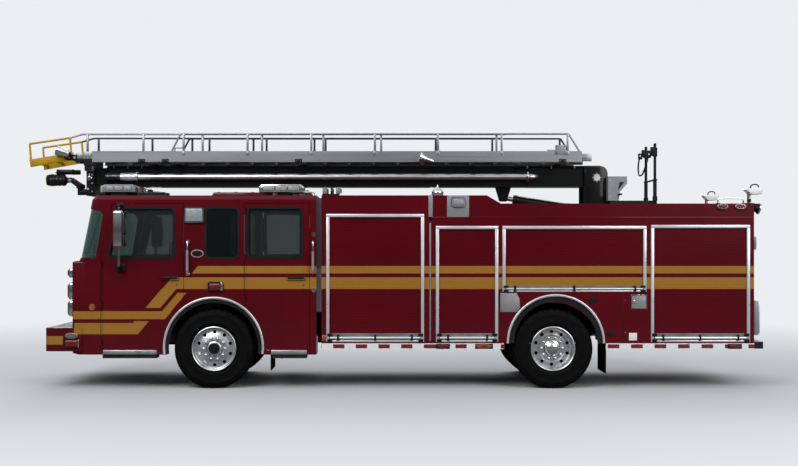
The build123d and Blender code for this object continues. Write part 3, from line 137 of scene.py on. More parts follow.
# %% [markdown]
# A finish is a material with one shader. Its patterns read Object coordinates, which stay with a
# piece when its body moves and need no unwrapping. Most real surfaces share three habits, so these
# are methods: a slow change of tone, an uneven gloss and a fine bump.
# %% Finishes and their habits
class Finish(Nodes):
    """A material, its shader and the habits of its surface."""

    def __init__(self, name, colour, rough, metal=0.0, **sockets):
        self.material = bpy.data.materials.new(name)
        self.material.use_nodes = True
        super().__init__(self.material.node_tree)
        self.shader = self.tree.nodes["Principled BSDF"]
        self.colour = (*colour, 1)
        sockets.update(base_color=self.colour, roughness=rough, metallic=metal)
        for socket, value in sockets.items():
            self.set(socket.replace("_", " ").title().replace("Ior", "IOR"), value)
        self.place = self.node("ShaderNodeTexCoord").outputs["Object"]
        self.height = None

    def set(self, socket, value):
        """Gives one input of the shader a value or a link."""
        self.plug(value, self.shader.inputs[socket])

    def part(self, letter):
        """One coordinate of the place: X, Y or Z."""
        return self.node("ShaderNodeSeparateXYZ", {0: self.place}).outputs[letter]

    def wave(self, value, length):
        """A sine along a value, repeated after a length."""
        return self.math("SINE", self.times(value, 2 * pi / length))

    def noise(self, scale, detail=3.0, rough=0.55, stretch=None):
        """Noise over the surface, stretched along its axes if asked."""
        place = self.place
        if stretch:
            place = self.node("ShaderNodeMapping", {"Vector": place, "Scale": stretch}).outputs[0]
        inputs = {"Vector": place, "Scale": scale, "Detail": detail, "Roughness": rough}
        return self.node("ShaderNodeTexNoise", inputs).outputs["Fac"]

    def tone(self, amount=0.12, scale=1.5):
        """A slow change of tone over the surface."""
        dark, light = ((*(min(1.0, channel * (1 + change)) for channel in self.colour[:3]), 1)
                       for change in (-amount, amount))
        self.set("Base Color", self.mix(self.spread(self.noise(scale, 4.0, 0.6), 0, 1), dark, light))
        return self

    def gloss(self, low, high, scale=3.0, stretch=None):
        """An uneven gloss, as wiped paint and handled metal have."""
        self.set("Roughness", self.spread(self.noise(scale, 5.0, 0.6, stretch), low, high))
        return self

    def bump(self, height, strength=0.2, depth=0.001):
        """A bump from a height value, on top of the one before."""
        inputs = {"Height": height, "Strength": strength, "Distance": depth}
        if self.height is not None:
            inputs["Normal"] = self.height
        self.height = self.node("ShaderNodeBump", inputs).outputs[0]
        self.set("Normal", self.height)
        return self

    def grain(self, scale, strength=0.15, depth=0.001, stretch=None):
        """A fine bump from noise."""
        return self.bump(self.noise(scale, 3.0, 0.6, stretch), strength, depth)


# %% [markdown]
# A picture of a sky could light the engine, but a plain one keeps the paint readable. What the
# camera sees of the world is a plain pale tone, while the light that falls on the engine is weaker
# and comes from above, so nothing pale burns out.
# %% Sky
seen_sky = (0.84, 0.86, 0.88, 1)
world = bpy.data.worlds.new("studio")
bpy.context.scene.world = world
world.use_nodes = True
world.node_tree.nodes.clear()
sky = Nodes(world.node_tree)
rays = sky.node("ShaderNodeLightPath").outputs
is_seen = sky.math("MAXIMUM", rays["Is Camera Ray"], rays["Is Transmission Ray"])
way = sky.node("ShaderNodeTexCoord").outputs["Generated"]
rise = sky.spread(sky.node("ShaderNodeSeparateXYZ", {0: way}).outputs["Z"], 0.05, 0.8, (0.0, 0.7))
lights = sky.node("ShaderNodeBackground", {"Color": (0.86, 0.9, 0.95, 1), "Strength": rise}).outputs[0]
shows = sky.node("ShaderNodeBackground", {"Color": seen_sky, "Strength": 1.0}).outputs[0]
both_skies = sky.node("ShaderNodeMixShader", {0: is_seen, 1: lights, 2: shows}).outputs[0]
sky.node("ShaderNodeOutputWorld", {"Surface": both_skies})

# %% [markdown]
# The floor is one large face under the wheels. Where the camera sees it far away it takes the sky's
# tone, so no horizon cuts through the view, and near the engine it shows real shadows.
# %% Floor
def mesh_from(form, name):
    """The mesh of a bmesh, which is freed."""
    mesh = bpy.data.meshes.new(name)
    form.to_mesh(mesh)
    form.free()
    return mesh


floor_reach = 90.0
floor_form = bmesh.new()
bmesh.ops.create_grid(floor_form, x_segments=1, y_segments=1, size=floor_reach)
floor_mesh = mesh_from(floor_form, "floor")
floor = new_object("floor", floor_mesh)
fade_start, fade_end = 4.5, 17.0
paper = Finish("floor_paper", (0.8, 0.8, 0.8), 0.9)
is_seen = paper.node("ShaderNodeLightPath").outputs["Is Camera Ray"]
distance = paper.node("ShaderNodeVectorMath", {0: paper.place}, operation="LENGTH").outputs["Value"]
fade = paper.node("ShaderNodeMapRange", {"Value": distance, "From Min": fade_start, "From Max": fade_end},
                  interpolation_type="SMOOTHSTEP").outputs[0]
paper.set("Base Color", paper.mix(is_seen, (0.1, 0.1, 0.105, 1), (0.5, 0.51, 0.53, 1)))
haze = paper.node("ShaderNodeEmission", {"Color": seen_sky}).outputs[0]
faded = paper.node("ShaderNodeMixShader", {0: paper.times(fade, is_seen), 1: paper.shader.outputs[0], 2: haze})
paper.plug(faded.outputs[0], paper.tree.nodes["Material Output"].inputs["Surface"])
floor_mesh.materials.append(paper.material)

# %% [markdown]
# Three large square lamps, like softboxes, give the long highlights that show where a panel turns.
# Small ones would leave hard spots on the chrome and black shadows under the steps.
# %% Lamps
lamp_table = (
    # name, place, aim, size, watts
    ("key", (7.0, 12.0, 11.0), (0.0, 0.0, 1.2), 9.0, 1500.0),
    ("fill", (-9.0, 10.0, 7.0), (-1.0, 0.0, 1.5), 8.0, 800.0),
    ("back", (0.0, -12.0, 11.0), (0.0, 0.0, 1.5), 10.0, 1100.0),
)
for name, place, aim, size, watts in lamp_table:
    glow = bpy.data.lights.new(name, "AREA")
    glow.shape, glow.size, glow.energy = "SQUARE", size, watts
    lamp = new_object(name, glow)
    lamp.location = place
    lamp.rotation_euler = (Vector(aim) - Vector(place)).to_track_quat("-Z", "Y").to_euler()

# %% [markdown]
# The red paint carries the gold reflective stripes. On the real engine they are tape that runs
# straight over doors, slats and seams. Strips of mesh would have to be cut at each of these, so the
# pattern is in the paint, by the place on the body: each stripe is a band of heights, ended by a
# sloping line, all written in metres.
# %% Red paint with gold stripes
tape_slope = 0.84
tape_table = (
    # low Z, high Z, then the least and the greatest X + tape_slope * Z
    (1.551, 1.652, None, 3.93),
    (1.343, 1.5, None, 4.15),
    (1.088, 1.344, 3.965, 4.162),
    (0.937, 1.043, 3.775, None),
    (1.042, 1.289, 3.783, 3.902),
)
lowest_z, lowest_rear_z = (0.734, 0.885), (0.884, 0.91)
step_x, lowest_front_x, lowest_rear_slide = 3.41, 4.206, 3.968
bumper_z, bumper_x = (0.596, 0.711), (4.356, 4.587)
inner_y = 0.93


def gold_share(paint):
    """1 where the tape lies, 0 on bare paint."""
    along, across, up = (paint.part(letter) for letter in "XYZ")
    slide = paint.math("ADD", paint.times(up, tape_slope), along)
    stripes = [paint.times(paint.between(up, low, high), paint.between(slide, start, end))
               for low, high, start, end in tape_table]
    rear_step = paint.times(paint.between(up, *lowest_rear_z), paint.between(along, high=step_x))
    lowest = paint.math("MAXIMUM", paint.between(up, *lowest_z), rear_step)
    ends = paint.times(paint.between(slide, lowest_rear_slide), paint.between(along, high=lowest_front_x))
    stripes.append(paint.times(lowest, ends))
    stripes.append(paint.times(paint.between(up, *bumper_z), paint.between(along, *bumper_x)))
    total = stripes[0]
    for stripe in stripes[1:]:
        total = paint.math("MAXIMUM", total, stripe)
    return paint.times(total, paint.between(paint.math("ABSOLUTE", across), inner_y))


red = Finish("red_paint", (0.085, 0.0012, 0.005), 0.35, coat_weight=1.0, coat_roughness=0.04, coat_ior=1.27,
             specular_ior_level=0.1)
gold_tape = gold_share(red)
tape_tone = red.mix(red.spread(red.noise(400.0), 0, 1), (0.27, 0.125, 0.016, 1), (0.34, 0.165, 0.026, 1))
paint_tone = red.mix(red.spread(red.noise(0.9, 4.0), 0, 1), (0.074, 0.001, 0.0045, 1), (0.096, 0.0015, 0.006, 1))
red.set("Base Color", red.mix(gold_tape, paint_tone, tape_tone))
red.set("Roughness", red.math("ADD", red.times(gold_tape, 0.18), 0.3))
red.grain(55.0, 0.03, 0.0006)
red.bump(gold_tape, 0.3, 0.0006)

# %% [markdown]
# The other paints, metals and plastics are plainer. Each has its tone, gloss and grain at the scale
# of the real one, such as the drawn lines along aluminium, because one even grey reads as a toy.
# %% Paints, metals and rubber
black_paint = Finish("black_paint", (0.004, 0.004, 0.0045), 0.3, coat_weight=0.8, coat_roughness=0.08, coat_ior=1.3,
                     specular_ior_level=0.12)
black_paint.tone(0.3, 2.0).gloss(0.22, 0.4, 2.5).grain(60.0, 0.05)
satin_black = Finish("satin_black", (0.006, 0.006, 0.0065), 0.5, specular_ior_level=0.2).tone(0.35, 5.0)
satin_black.gloss(0.4, 0.6, 6.0).grain(180.0, 0.12)
dusty_black = Finish("dusty_black", (0.009, 0.0085, 0.008), 0.75, specular_ior_level=0.2).tone(0.5, 3.0)
dusty_black.gloss(0.6, 0.85, 8.0).grain(90.0, 0.2, 0.002)
# Aluminium is drawn along X, and faces that look inwards between a ladder's beams get painted shade
aluminium = Finish("aluminium", (0.3, 0.305, 0.315), 0.38, 0.8)
drawn = aluminium.spread(aluminium.noise(2.0, 3.0, 0.5, (0.3, 3, 3)), 0, 1)
metal_tone = aluminium.mix(drawn, (0.265, 0.27, 0.28, 1), (0.335, 0.34, 0.35, 1))
normal = aluminium.node("ShaderNodeTexCoord").outputs["Normal"]
looks_at = aluminium.node("ShaderNodeSeparateXYZ", {0: normal}).outputs["Y"]
# Painted shade: faces that look inwards take the near-black colour below
inward = aluminium.between(aluminium.times(looks_at, aluminium.part("Y")), high=-0.05)
aluminium.set("Base Color", aluminium.mix(inward, metal_tone, (0.035, 0.035, 0.036, 1)))
aluminium.gloss(0.3, 0.5, 9.0, (0.05, 3, 8)).grain(220.0, 0.08, 0.0005, (0.02, 1, 1))
bright_frame = Finish("bright_frame", (0.72, 0.73, 0.74), 0.3, 0.55).tone(0.08, 3.0)
bright_frame.gloss(0.25, 0.4, 5.0).grain(150.0, 0.05, 0.0005)
chrome = Finish("chrome", (0.8, 0.8, 0.81), 0.08, 1.0).tone(0.06, 3.0).gloss(0.05, 0.16, 7.0)
chrome.grain(120.0, 0.01, 0.0003)
polished = Finish("polished_wheel", (0.62, 0.63, 0.64), 0.3, 0.9).tone(0.1, 9.0).gloss(0.24, 0.4, 14.0)
polished.grain(160.0, 0.05, 0.0004)
pipe_metal = Finish("brushed_pipe", (0.6, 0.6, 0.61), 0.3, 0.95).tone(0.06, 2.0).gloss(0.26, 0.36, 3.0)
pipe_metal.grain(200.0, 0.02, 0.0002)
steel = Finish("bright_steel", (0.55, 0.55, 0.56), 0.28, 1.0).tone(0.15, 6.0).gloss(0.2, 0.42, 12.0)
steel.grain(140.0, 0.06, 0.0005)
tread = Finish("tread_plate", (0.55, 0.56, 0.57), 0.3, 0.9).tone(0.15, 4.0).gloss(0.22, 0.45, 8.0)
rubber = Finish("rubber", (0.003, 0.003, 0.0034), 0.72, specular_ior_level=0.08).tone(0.3, 7.0).gloss(0.62, 0.85, 9.0)
rubber.grain(120.0, 0.2, 0.001)
plastic = Finish("grained_plastic", (0.01, 0.01, 0.011), 0.55, specular_ior_level=0.25).tone(0.25, 4.0)
plastic.grain(260.0, 0.3, 0.0006)
grey_box = Finish("grey_panel", (0.23, 0.235, 0.245), 0.45, 0.25).tone(0.12, 5.0).gloss(0.38, 0.55, 7.0)
grey_box.grain(130.0, 0.08, 0.0005)
yellow = Finish("yellow_paint", (0.44, 0.26, 0.006), 0.38, specular_ior_level=0.25).tone(0.14, 6.0)
yellow.gloss(0.3, 0.5, 8.0).grain(80.0, 0.08, 0.0006)
maroon = Finish("maroon_paint", (0.022, 0.004, 0.007), 0.35, coat_weight=0.3, specular_ior_level=0.2).tone(0.3, 12.0)
maroon.gloss(0.28, 0.48, 12.0).grain(90.0, 0.1, 0.0006)
engine_grey = Finish("engine_grey", (0.12, 0.125, 0.13), 0.6, 0.2).tone(0.3, 6.0).grain(70.0, 0.3, 0.002)
trim_white = Finish("white_paint", (0.72, 0.72, 0.71), 0.4, coat_weight=0.3).tone(0.06, 5.0)
trim_white.gloss(0.35, 0.5, 5.0).grain(90.0, 0.04, 0.0005)

# %% [markdown]
# Glass is a clear shader with a tint, on panes that are real sheets, so the seats show through it.
# A lamp's lens is moulded plastic: its ribs are a bump, because they are finer than its mesh.
# %% Glass and lenses
glass = Finish("tinted_glass", (0.19, 0.215, 0.21), 0.02, transmission_weight=0.95, ior=1.45)
glass.gloss(0.0, 0.03, 1.2)
# The wrapped windscreen is pale green, the fixed side windows are nearly black
screen_glass = Finish("screen_glass", (0.4, 0.55, 0.5), 0.02, transmission_weight=0.92, ior=1.45)
screen_share = screen_glass.between(screen_glass.part("X"), 3.3)
screen_glass.set("Base Color", screen_glass.mix(screen_share, (0.05, 0.062, 0.066, 1), (0.2, 0.3, 0.27, 1)))
screen_glass.gloss(0.0, 0.03, 1.2)


def lens_finish(name, colour, pitch=0.011):
    """A moulded lens: ribs across and a little light through it."""
    made = Finish(name, colour, 0.16, coat_weight=0.6, transmission_weight=0.25, ior=1.49)
    ribs, rows = made.wave(made.part("X"), pitch), made.wave(made.part("Z"), 1.6 * pitch)
    return made.tone(0.2, 18.0).bump(made.times(ribs, rows), 0.5, 0.0012)


clear_lens = lens_finish("clear_lens", (0.36, 0.39, 0.42))
red_lens = lens_finish("red_lens", (0.2, 0.003, 0.006))
amber_lens = lens_finish("amber_lens", (0.42, 0.1, 0.012))

# %% [markdown]
# Three finishes have a pattern: raised diamonds on tread plate, red and white blocks on the rub rail
# and threads in the seats' cloth. Waves or steps along a coordinate give all rows at once, where
# shapes of their own would number many thousands.
# %% Tread plate, rub rail and cloth
diamond_pitch = 0.028
leans = [tread.math(how, tread.part("X"), tread.part("Y")) for how in ("ADD", "SUBTRACT")]
waves = [tread.wave(lean, diamond_pitch) for lean in leans]
tread.bump(tread.between(tread.times(*waves), 0.35), 0.5, 0.0015)

# The rub rail is in three runs, and the blocks start anew on each
rail_front, rail_breaks, rail_jumps = 0.725, (-0.62, -2.0), (1.644, 2.046)
block_length, rear_block_extra, red_band = 0.3048, 0.0107, (0.545, 0.6)
rail_paint = Finish("rail_tape", (0.75, 0.75, 0.75), 0.35, coat_weight=0.4).gloss(0.3, 0.45, 9.0)
rail_x = rail_paint.part("X")
rail_z = rail_paint.part("Z")
middle_run, rear_run = (rail_paint.between(rail_x, high=start) for start in rail_breaks)
jumps = [rail_paint.times(run, jump) for run, jump in zip((middle_run, rear_run), rail_jumps)]
run_start = rail_paint.math("SUBTRACT", rail_front, rail_paint.math("ADD", *jumps))
block_pitch = rail_paint.math("ADD", rail_paint.times(rear_run, rear_block_extra), block_length)
along_run = rail_paint.math("DIVIDE", rail_paint.math("SUBTRACT", run_start, rail_x), block_pitch)
step_along = rail_paint.math("FRACT", rail_paint.math("ADD", along_run, 20.0))
red_block = rail_paint.times(rail_paint.between(step_along, high=0.5), rail_paint.between(rail_z, *red_band))
rail_paint.set("Base Color", rail_paint.mix(red_block, (0.76, 0.76, 0.76, 1), (0.16, 0.004, 0.012, 1)))
rail_paint.grain(160.0, 0.05, 0.0005)

cloth = Finish("seat_cloth", (0.035, 0.036, 0.04), 0.9, sheen_weight=0.4).tone(0.25, 9.0)
thread_pitch = 0.004
weave = [cloth.wave(cloth.part(letter), thread_pitch) for letter in "XY"]
cloth.bump(cloth.times(*weave), 0.5, 0.0006)
print("finishes:", len(bpy.data.materials))

# %% [markdown]
# Most carrying pieces already have their real shape, so they only need their finish. Their meshes
# are loose triangles that point the right way, and nothing here edits them.
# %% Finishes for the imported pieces
node_finishes = {
    red: "bumper cab_shell pump_module body_shell roof_fittings door_front_left door_front_right "
         "door_rear_left door_rear_right hinge_pins",
    dusty_black: "steps frame_rails front_axle rear_axle leaf_springs knuckle_left knuckle_right",
    engine_grey: "driveline",
    screen_glass: "cab_glass",
    glass: "door_glass_front_left door_glass_front_right door_glass_rear_left door_glass_rear_right",
    steel: "lift_rod",
    plastic: "dashboard",
    chrome: "grille front_lamps lamps light_bars floodlight grab_handles",
    pipe_metal: "waterway",
    bright_frame: "arch_trims",
    satin_black: "turntable_ring turret barrel_bracket boom_cradle boom_head lift_barrel turntable_platform",
    rail_paint: "rub_rails",
    rubber: "mud_flaps",
    grey_box: "console",
    black_paint: "base_boom fly_boom",
    aluminium: "base_ladder fly_ladder",
    yellow: "ladder_tip",
    maroon: "monitor_elbow monitor_nozzle",
}
for finish, names in node_finishes.items():
    for name in names.split():
        slots = nodes[name].data.materials
        slots.clear()
        slots.append(finish.material)

# %% [markdown]
# New pieces are built shape by shape, each in a small mesh of its own: a cube for a box, a cone for a
# round bar, one drawn-out face for a plate. The edges are rounded at once, because on real sheet and
# castings every edge catches some light.
# %% Boxes, round bars and panels
def span(middle, half):
    """The (low, high) pair round a middle."""
    return middle - half, middle + half


def rounded_off(small, bevel, segments):
    """The shape with a bevel along all its edges."""
    if bevel:
        bmesh.ops.bevel(small, geom=small.edges[:], offset=bevel, segments=segments, profile=0.5,
                        affect="EDGES", material=-1)
    return small


def thickened(small, faces, y):
    """Flat faces at the first Y value, drawn out to the second."""
    grown = bmesh.ops.extrude_face_region(small, geom=faces)["geom"]
    moved = [item for item in grown if isinstance(item, bmesh.types.BMVert)]
    bmesh.ops.translate(small, vec=(0, y[1] - y[0], 0), verts=moved)
    bmesh.ops.recalc_face_normals(small, faces=small.faces[:])
    return small


def bar(x, y, z, bevel=0.004, segments=2):
    """A box between three (low, high) pairs, with its edges rounded."""
    small = bmesh.new()
    size = Vector([abs(pair[1] - pair[0]) for pair in (x, y, z)])
    middle = Vector([sum(pair) / 2 for pair in (x, y, z)])
    bmesh.ops.create_cube(small, size=1.0, matrix=Matrix.LocRotScale(middle, None, size))
    return rounded_off(small, min(bevel, 0.45 * min(size)), segments)


def rod(start, end, radius, sides=16, tip=None):
    """A round bar or a cone between two points."""
    small = bmesh.new()
    start, end = Vector(start), Vector(end)
    turn = (end - start).to_track_quat("Z", "Y")
    place = Matrix.LocRotScale((start + end) / 2, turn, None)
    bmesh.ops.create_cone(small, cap_ends=True, segments=sides, radius1=radius,
                          radius2=radius if tip is None else tip, depth=(end - start).length, matrix=place)
    return small


def pin(x, y, z, radius, sides=16, tip=None):
    """A round bar along the axis whose place is a (from, to) pair."""
    ends = [[place[end] if isinstance(place, tuple) else place for place in (x, y, z)] for end in (0, 1)]
    return rod(*ends, radius, sides, tip)


def panel(points, y, bevel=0.0, segments=2):
    """A side-view outline (X, Z) given thickness between two Y values."""
    small = bmesh.new()
    face = small.faces.new([small.verts.new((px, y[0], pz)) for px, pz in points])
    return rounded_off(thickened(small, [face], y), bevel, segments)


# %% [markdown]
# A round part is its profile spun about an axis. The seam and the poles are merged before the
# normals are recalculated, or the shape could end up inside out. A pipe is a curve with a round
# section, since it bends smoothly where a chain of round bars would kink.
# %% Spun forms, balls and tubes
def turned(profile, centre, axis=(0, 1, 0), steps=48, closed=True):
    """A profile of (radius, distance along the axis) spun round."""
    small = bmesh.new()
    ring = [small.verts.new((radius, 0, along)) for radius, along in profile]
    pairs = zip(ring, ring[1:] + ring[:1]) if closed else zip(ring, ring[1:])
    edges = [small.edges.new(pair) for pair in pairs]
    bmesh.ops.spin(small, geom=ring + edges, cent=(0, 0, 0), axis=(0, 0, 1), angle=2 * pi,
                   steps=steps, use_merge=True)
    bmesh.ops.remove_doubles(small, verts=small.verts[:], dist=1e-5)
    bmesh.ops.recalc_face_normals(small, faces=small.faces[:])
    turn = Vector(axis).to_track_quat("Z", "Y")
    bmesh.ops.transform(small, matrix=Matrix.LocRotScale(Vector(centre), turn, None), verts=small.verts[:])
    return small


def ball(centre, size, segments=20):
    """An ellipsoid with three half axes."""
    small = bmesh.new()
    place = Matrix.LocRotScale(Vector(centre), None, Vector(size))
    bmesh.ops.create_uvsphere(small, u_segments=segments, v_segments=segments // 2, radius=1.0, matrix=place)
    return small


def tube(points, radius, bend=0.4):
    """A bent pipe: a smooth curve through the points, given a round section."""
    line = bpy.data.curves.new("tube_line", "CURVE")
    line.dimensions = "3D"
    line.bevel_depth = radius
    line.bevel_resolution = 3
    line.resolution_u = 6
    line.use_fill_caps = True
    spline = line.splines.new("BEZIER")
    spline.bezier_points.add(len(points) - 1)
    places = [Vector(point) for point in points]
    for index, (knot, place) in enumerate(zip(spline.bezier_points, places)):
        before, after = places[max(index - 1, 0)], places[min(index + 1, len(places) - 1)]
        reach = (after - before).normalized() * bend
        knot.co = place
        knot.handle_left = place - reach * (place - before).length
        knot.handle_right = place + reach * (after - place).length
    holder = bpy.data.objects.new("tube_holder", line)
    mesh = bpy.data.meshes.new_from_object(holder)
    small = bmesh.new()
    small.from_mesh(mesh)
    bpy.data.meshes.remove(mesh)
    bpy.data.objects.remove(holder)
    bpy.data.curves.remove(line)
    return small


# %% [markdown]
# Seals, frames and plates are drawn in side view, as corners (X, Z). Their corners are rounded
# first, and a ring is bridged between an outline and the same outline moved inwards, so it keeps an
# even width where a scaled copy would not.
# %% Outlines and rings
def rounded(points, radius, steps=5):
    """A closed outline with each corner turned into a short curve."""
    line = []
    for index, point in enumerate(points):
        corner, before = Vector(point), Vector(points[index - 1])
        after = Vector(points[(index + 1) % len(points)])
        start = corner + (before - corner).normalized() * radius
        end = corner + (after - corner).normalized() * radius
        for step in range(steps + 1):
            share = step / steps
            line.append(start * (1 - share) ** 2 + corner * 2 * share * (1 - share) + end * share ** 2)
    return line


def inset(points, distance):
    """A closed outline moved inwards by a distance, or outwards by a negative one."""
    line = [Vector(point) for point in points]
    area = sum(first.cross(second) for first, second in zip(line, line[1:] + line[:1]))
    moved = []
    for index, corner in enumerate(line):
        ways = (corner - line[index - 1], line[(index + 1) % len(line)] - corner)
        first, second = (Vector((-way.y, way.x)).normalized() * (1 if area > 0 else -1) for way in ways)
        moved.append(corner + (first + second) * distance / (1 + first.dot(second)))
    return moved


def band(points, width, y, corner=0.05):
    """A rounded ring in side view, such as a window seal, between two Y values."""
    small = bmesh.new()
    loops = rounded(points, corner), rounded(inset(points, width), max(corner - width, 0.004))
    edges = []
    for loop in loops:
        verts = [small.verts.new((spot.x, y[0], spot.y)) for spot in loop]
        edges += [small.edges.new(pair) for pair in zip(verts, verts[1:] + verts[:1])]
    bmesh.ops.bridge_loops(small, edges=edges)
    return thickened(small, small.faces[:], y)


def side_line(y, *points):
    """Points (X, Z) in side view, all at one Y value."""
    return [(px, y, pz) for px, pz in points]


def rect(x, z):
    """The corners of a box in side view."""
    return (x[0], z[0]), (x[1], z[0]), (x[1], z[1]), (x[0], z[1])


def oval(x, y, z, bevel=0.003, count=28):
    """An elliptical lens or badge that fills three (low, high) pairs."""
    middle = Vector((sum(x) / 2, sum(z) / 2))
    half = Vector((x[1] - x[0], z[1] - z[0])) / 2
    turns = [2 * pi * index / count for index in range(count)]
    return panel([(middle.x + half.x * cos(t), middle.y + half.y * sin(t)) for t in turns], y, bevel, 1)


# %% [markdown]
# Hundreds of loose objects would be hard to move together, so a Piece collects shapes in one mesh,
# with a slot for each finish, and becomes one object that rides on a body of the engine. A mirrored
# shape is inside out, so its faces are reversed.
# %% Pieces
def join(form, small):
    """Adds a copy of one bmesh to another."""
    scratch = bpy.data.meshes.new("scratch")
    small.to_mesh(scratch)
    form.from_mesh(scratch)
    bpy.data.meshes.remove(scratch)


class Piece:
    """One named piece, joined from small shapes. The given finish is the one it mostly has."""

    def __init__(self, name, body, slot, finish):
        self.name, self.body, self.slot, self.finish = name, body, slot, finish
        self.finishes = []
        self.form = bmesh.new()

    def take(self, small, finish=None, both=False, flip=False):
        """Joins a shape: as it is, on both sides, or only mirrored to the other side."""
        finish = finish or self.finish
        if finish not in self.finishes:
            self.finishes.append(finish)
        for face in small.faces:
            face.material_index = self.finishes.index(finish)
        if not flip:
            join(self.form, small)
        if both or flip:
            bmesh.ops.scale(small, vec=(1, -1, 1), verts=small.verts[:])
            bmesh.ops.reverse_faces(small, faces=small.faces[:])
            join(self.form, small)
        small.free()
        return self

    def pair(self, small, finish=None):
        """Joins a shape on both sides of the engine."""
        return self.take(small, finish, both=True)

    def done(self, smooth=38.0):
        """Makes the object, smooth but for edges sharper than an angle, and lets it ride."""
        mesh = mesh_from(self.form, self.name)
        for finish in self.finishes:
            mesh.materials.append(finish.material)
        mesh.shade_smooth()
        mesh.set_sharp_from_angle(angle=radians(smooth))
        made = new_object(self.name, mesh)
        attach(made, self.body)
        print(self.name + ":", len(mesh.polygons), "faces")
        return made


side_names = ("left", "right")

# %% [markdown]
# A tyre is spun from its section, with grooves round the tread. Its blocks could be modelled one by
# one and set round the wheel, but pressing in every other face of the shoulder gives the same look
# and leaves one closed shape.
# %% Tyres
tyre_steps = 80
groove_depth, groove_half = 0.013, 0.006
rim_seat = 0.302
twin_width, twin_gap = 0.285, 0.045
low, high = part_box("wheel_front_left")
tyre_reach = (high.z - low.z) / 2


def tyre_section(width):
    """(radius, place across) of a tyre, outer side first; radius from the wheel's box."""
    half = width / 2
    crown = tyre_reach
    outer = [(rim_seat, 0.8), (rim_seat + 0.012, 0.88), (0.345, 0.94), (0.35, 0.965), (0.356, 0.952),
             (0.42, 1.0), (0.455, 0.995), (0.459, 1.003), (0.463, 0.99), (0.495, 0.955), (0.515, 0.9),
             (crown - 0.006, 0.845), (crown - 0.001, 0.8)]
    line = [(radius, half * share) for radius, share in outer]
    for share in (0.52, 0.17, -0.17, -0.52):
        middle = half * share
        line += [(crown, middle + groove_half), (crown - groove_depth, middle + groove_half * 0.7),
                 (crown - groove_depth, middle - groove_half * 0.7), (crown, middle - groove_half)]
    line += [(radius, -half * share) for radius, share in reversed(outer)]
    return line


def angle_round(spot):
    """The angle of a point round the wheel's axle, from 0 to a full turn."""
    return Vector((1, 0)).angle_signed(Vector((spot.x, spot.z)), 0.0) % (2 * pi)


def tyre(width, centre):
    """One tyre round the Y axis."""
    small = turned(tyre_section(width), (0, 0, 0), steps=tyre_steps)
    pressed = []
    for face in small.faces:
        spot = face.calc_center_median()
        reach = sqrt(spot.x ** 2 + spot.z ** 2)
        turn = int(round((angle_round(spot) / (2 * pi)) * tyre_steps - 0.5))
        if 0.515 < reach < tyre_reach - 0.002 and abs(spot.y) > 0.4 * width and turn % 2:
            pressed.append(face)
    for face in bmesh.ops.extrude_discrete_faces(small, faces=pressed)["faces"]:
        bmesh.ops.translate(small, vec=face.normal * -0.011, verts=face.verts[:])
    bmesh.ops.translate(small, vec=centre, verts=small.verts[:])
    return small


# %% [markdown]
# The disc joins the rim's barrel to the hub, near the tyre's face in front and sunk deep on the twin
# rear wheels. Barrel and disc are one closed profile, so that one spin makes both. A hub is one or
# two more profiles on the disc's centre.
# %% Sections of rims and hubs
hole_count, hole_circle, nut_circle = 10, 0.223, 0.143
wheel_looks = {
    # disc profile from the barrel to the centre: (radius, depth behind the tyre's face)
    "front": ((0.272, 0.06), (0.263, 0.095), (0.245, 0.098), (0.2, 0.083), (0.165, 0.07), (0.112, 0.066)),
    "rear": ((0.272, 0.06), (0.262, 0.15), (0.245, 0.166), (0.2, 0.166), (0.18, 0.158), (0.17, 0.138),
             (0.112, 0.134)),
}
hub_looks = {
    # profiles on the disc's centre, (radius, height over its seat), with their steps and finish
    "front": ((((0.112, -0.02), (0.104, 0.006), (0.096, 0.026), (0.082, 0.034), (0.077, 0.034), (0.074, 0.026)),
               40, polished),
              (((0.0765, 0.02), (0.0765, 0.028), (0.058, 0.032), (0.052, 0.027), (0.034, 0.027), (0.03, 0.036),
                (0.0, 0.038)), 32, satin_black)),
    "rear": ((((0.105, -0.01), (0.105, 0.012), (0.093, 0.018), (0.092, 0.045), (0.083, 0.062), (0.06, 0.076),
               (0.03, 0.084), (0.0, 0.086)), 40, chrome),),
}


def rim(kind, face_y, width):
    """The wheel's barrel and disc, before its holes."""
    disc = wheel_looks[kind]
    lip = ((0.3, 0.026), (0.299, 0.014), (0.292, 0.011), (0.284, 0.016), (0.279, 0.03))
    front_line = [(radius, face_y - depth) for radius, depth in lip + disc]
    back_line = [(radius, face_y - depth - 0.014) for radius, depth in reversed(disc[1:])]
    inner_edge = face_y - width + 0.03
    barrel = [(0.284, face_y - disc[1][1] - 0.03), (0.284, inner_edge), (0.3, inner_edge)]
    return turned(front_line + back_line + barrel, (0, 0, 0), steps=60)


# %% [markdown]
# The disc has ten hand holes. Pressed-in faces would leave them blind, so round cutters go right
# through it in an exact boolean, as the holes of the real one are punched. The nuts stand on a
# circle between the holes and the hub.
# %% Whole wheels
def cut(small, cutters):
    """Takes the cutters away from a shape with an exact boolean."""
    holders = [new_object("cut_form", mesh_from(form, "cut_form")) for form in (small, cutters)]
    tool = holders[0].modifiers.new("holes", "BOOLEAN")
    tool.object = holders[1]
    tool.solver = "EXACT"
    bpy.context.view_layer.update()
    ready = holders[0].evaluated_get(bpy.context.evaluated_depsgraph_get())
    result = bmesh.new()
    result.from_mesh(ready.to_mesh())
    ready.to_mesh_clear()
    for holder in holders:
        bpy.data.objects.remove(holder)
    return result


def around(circle, count, offset=0.0):
    """Places evenly round a circle."""
    for index in range(count):
        turn = 2 * pi * (index + offset) / count
        yield circle * cos(turn), circle * sin(turn)


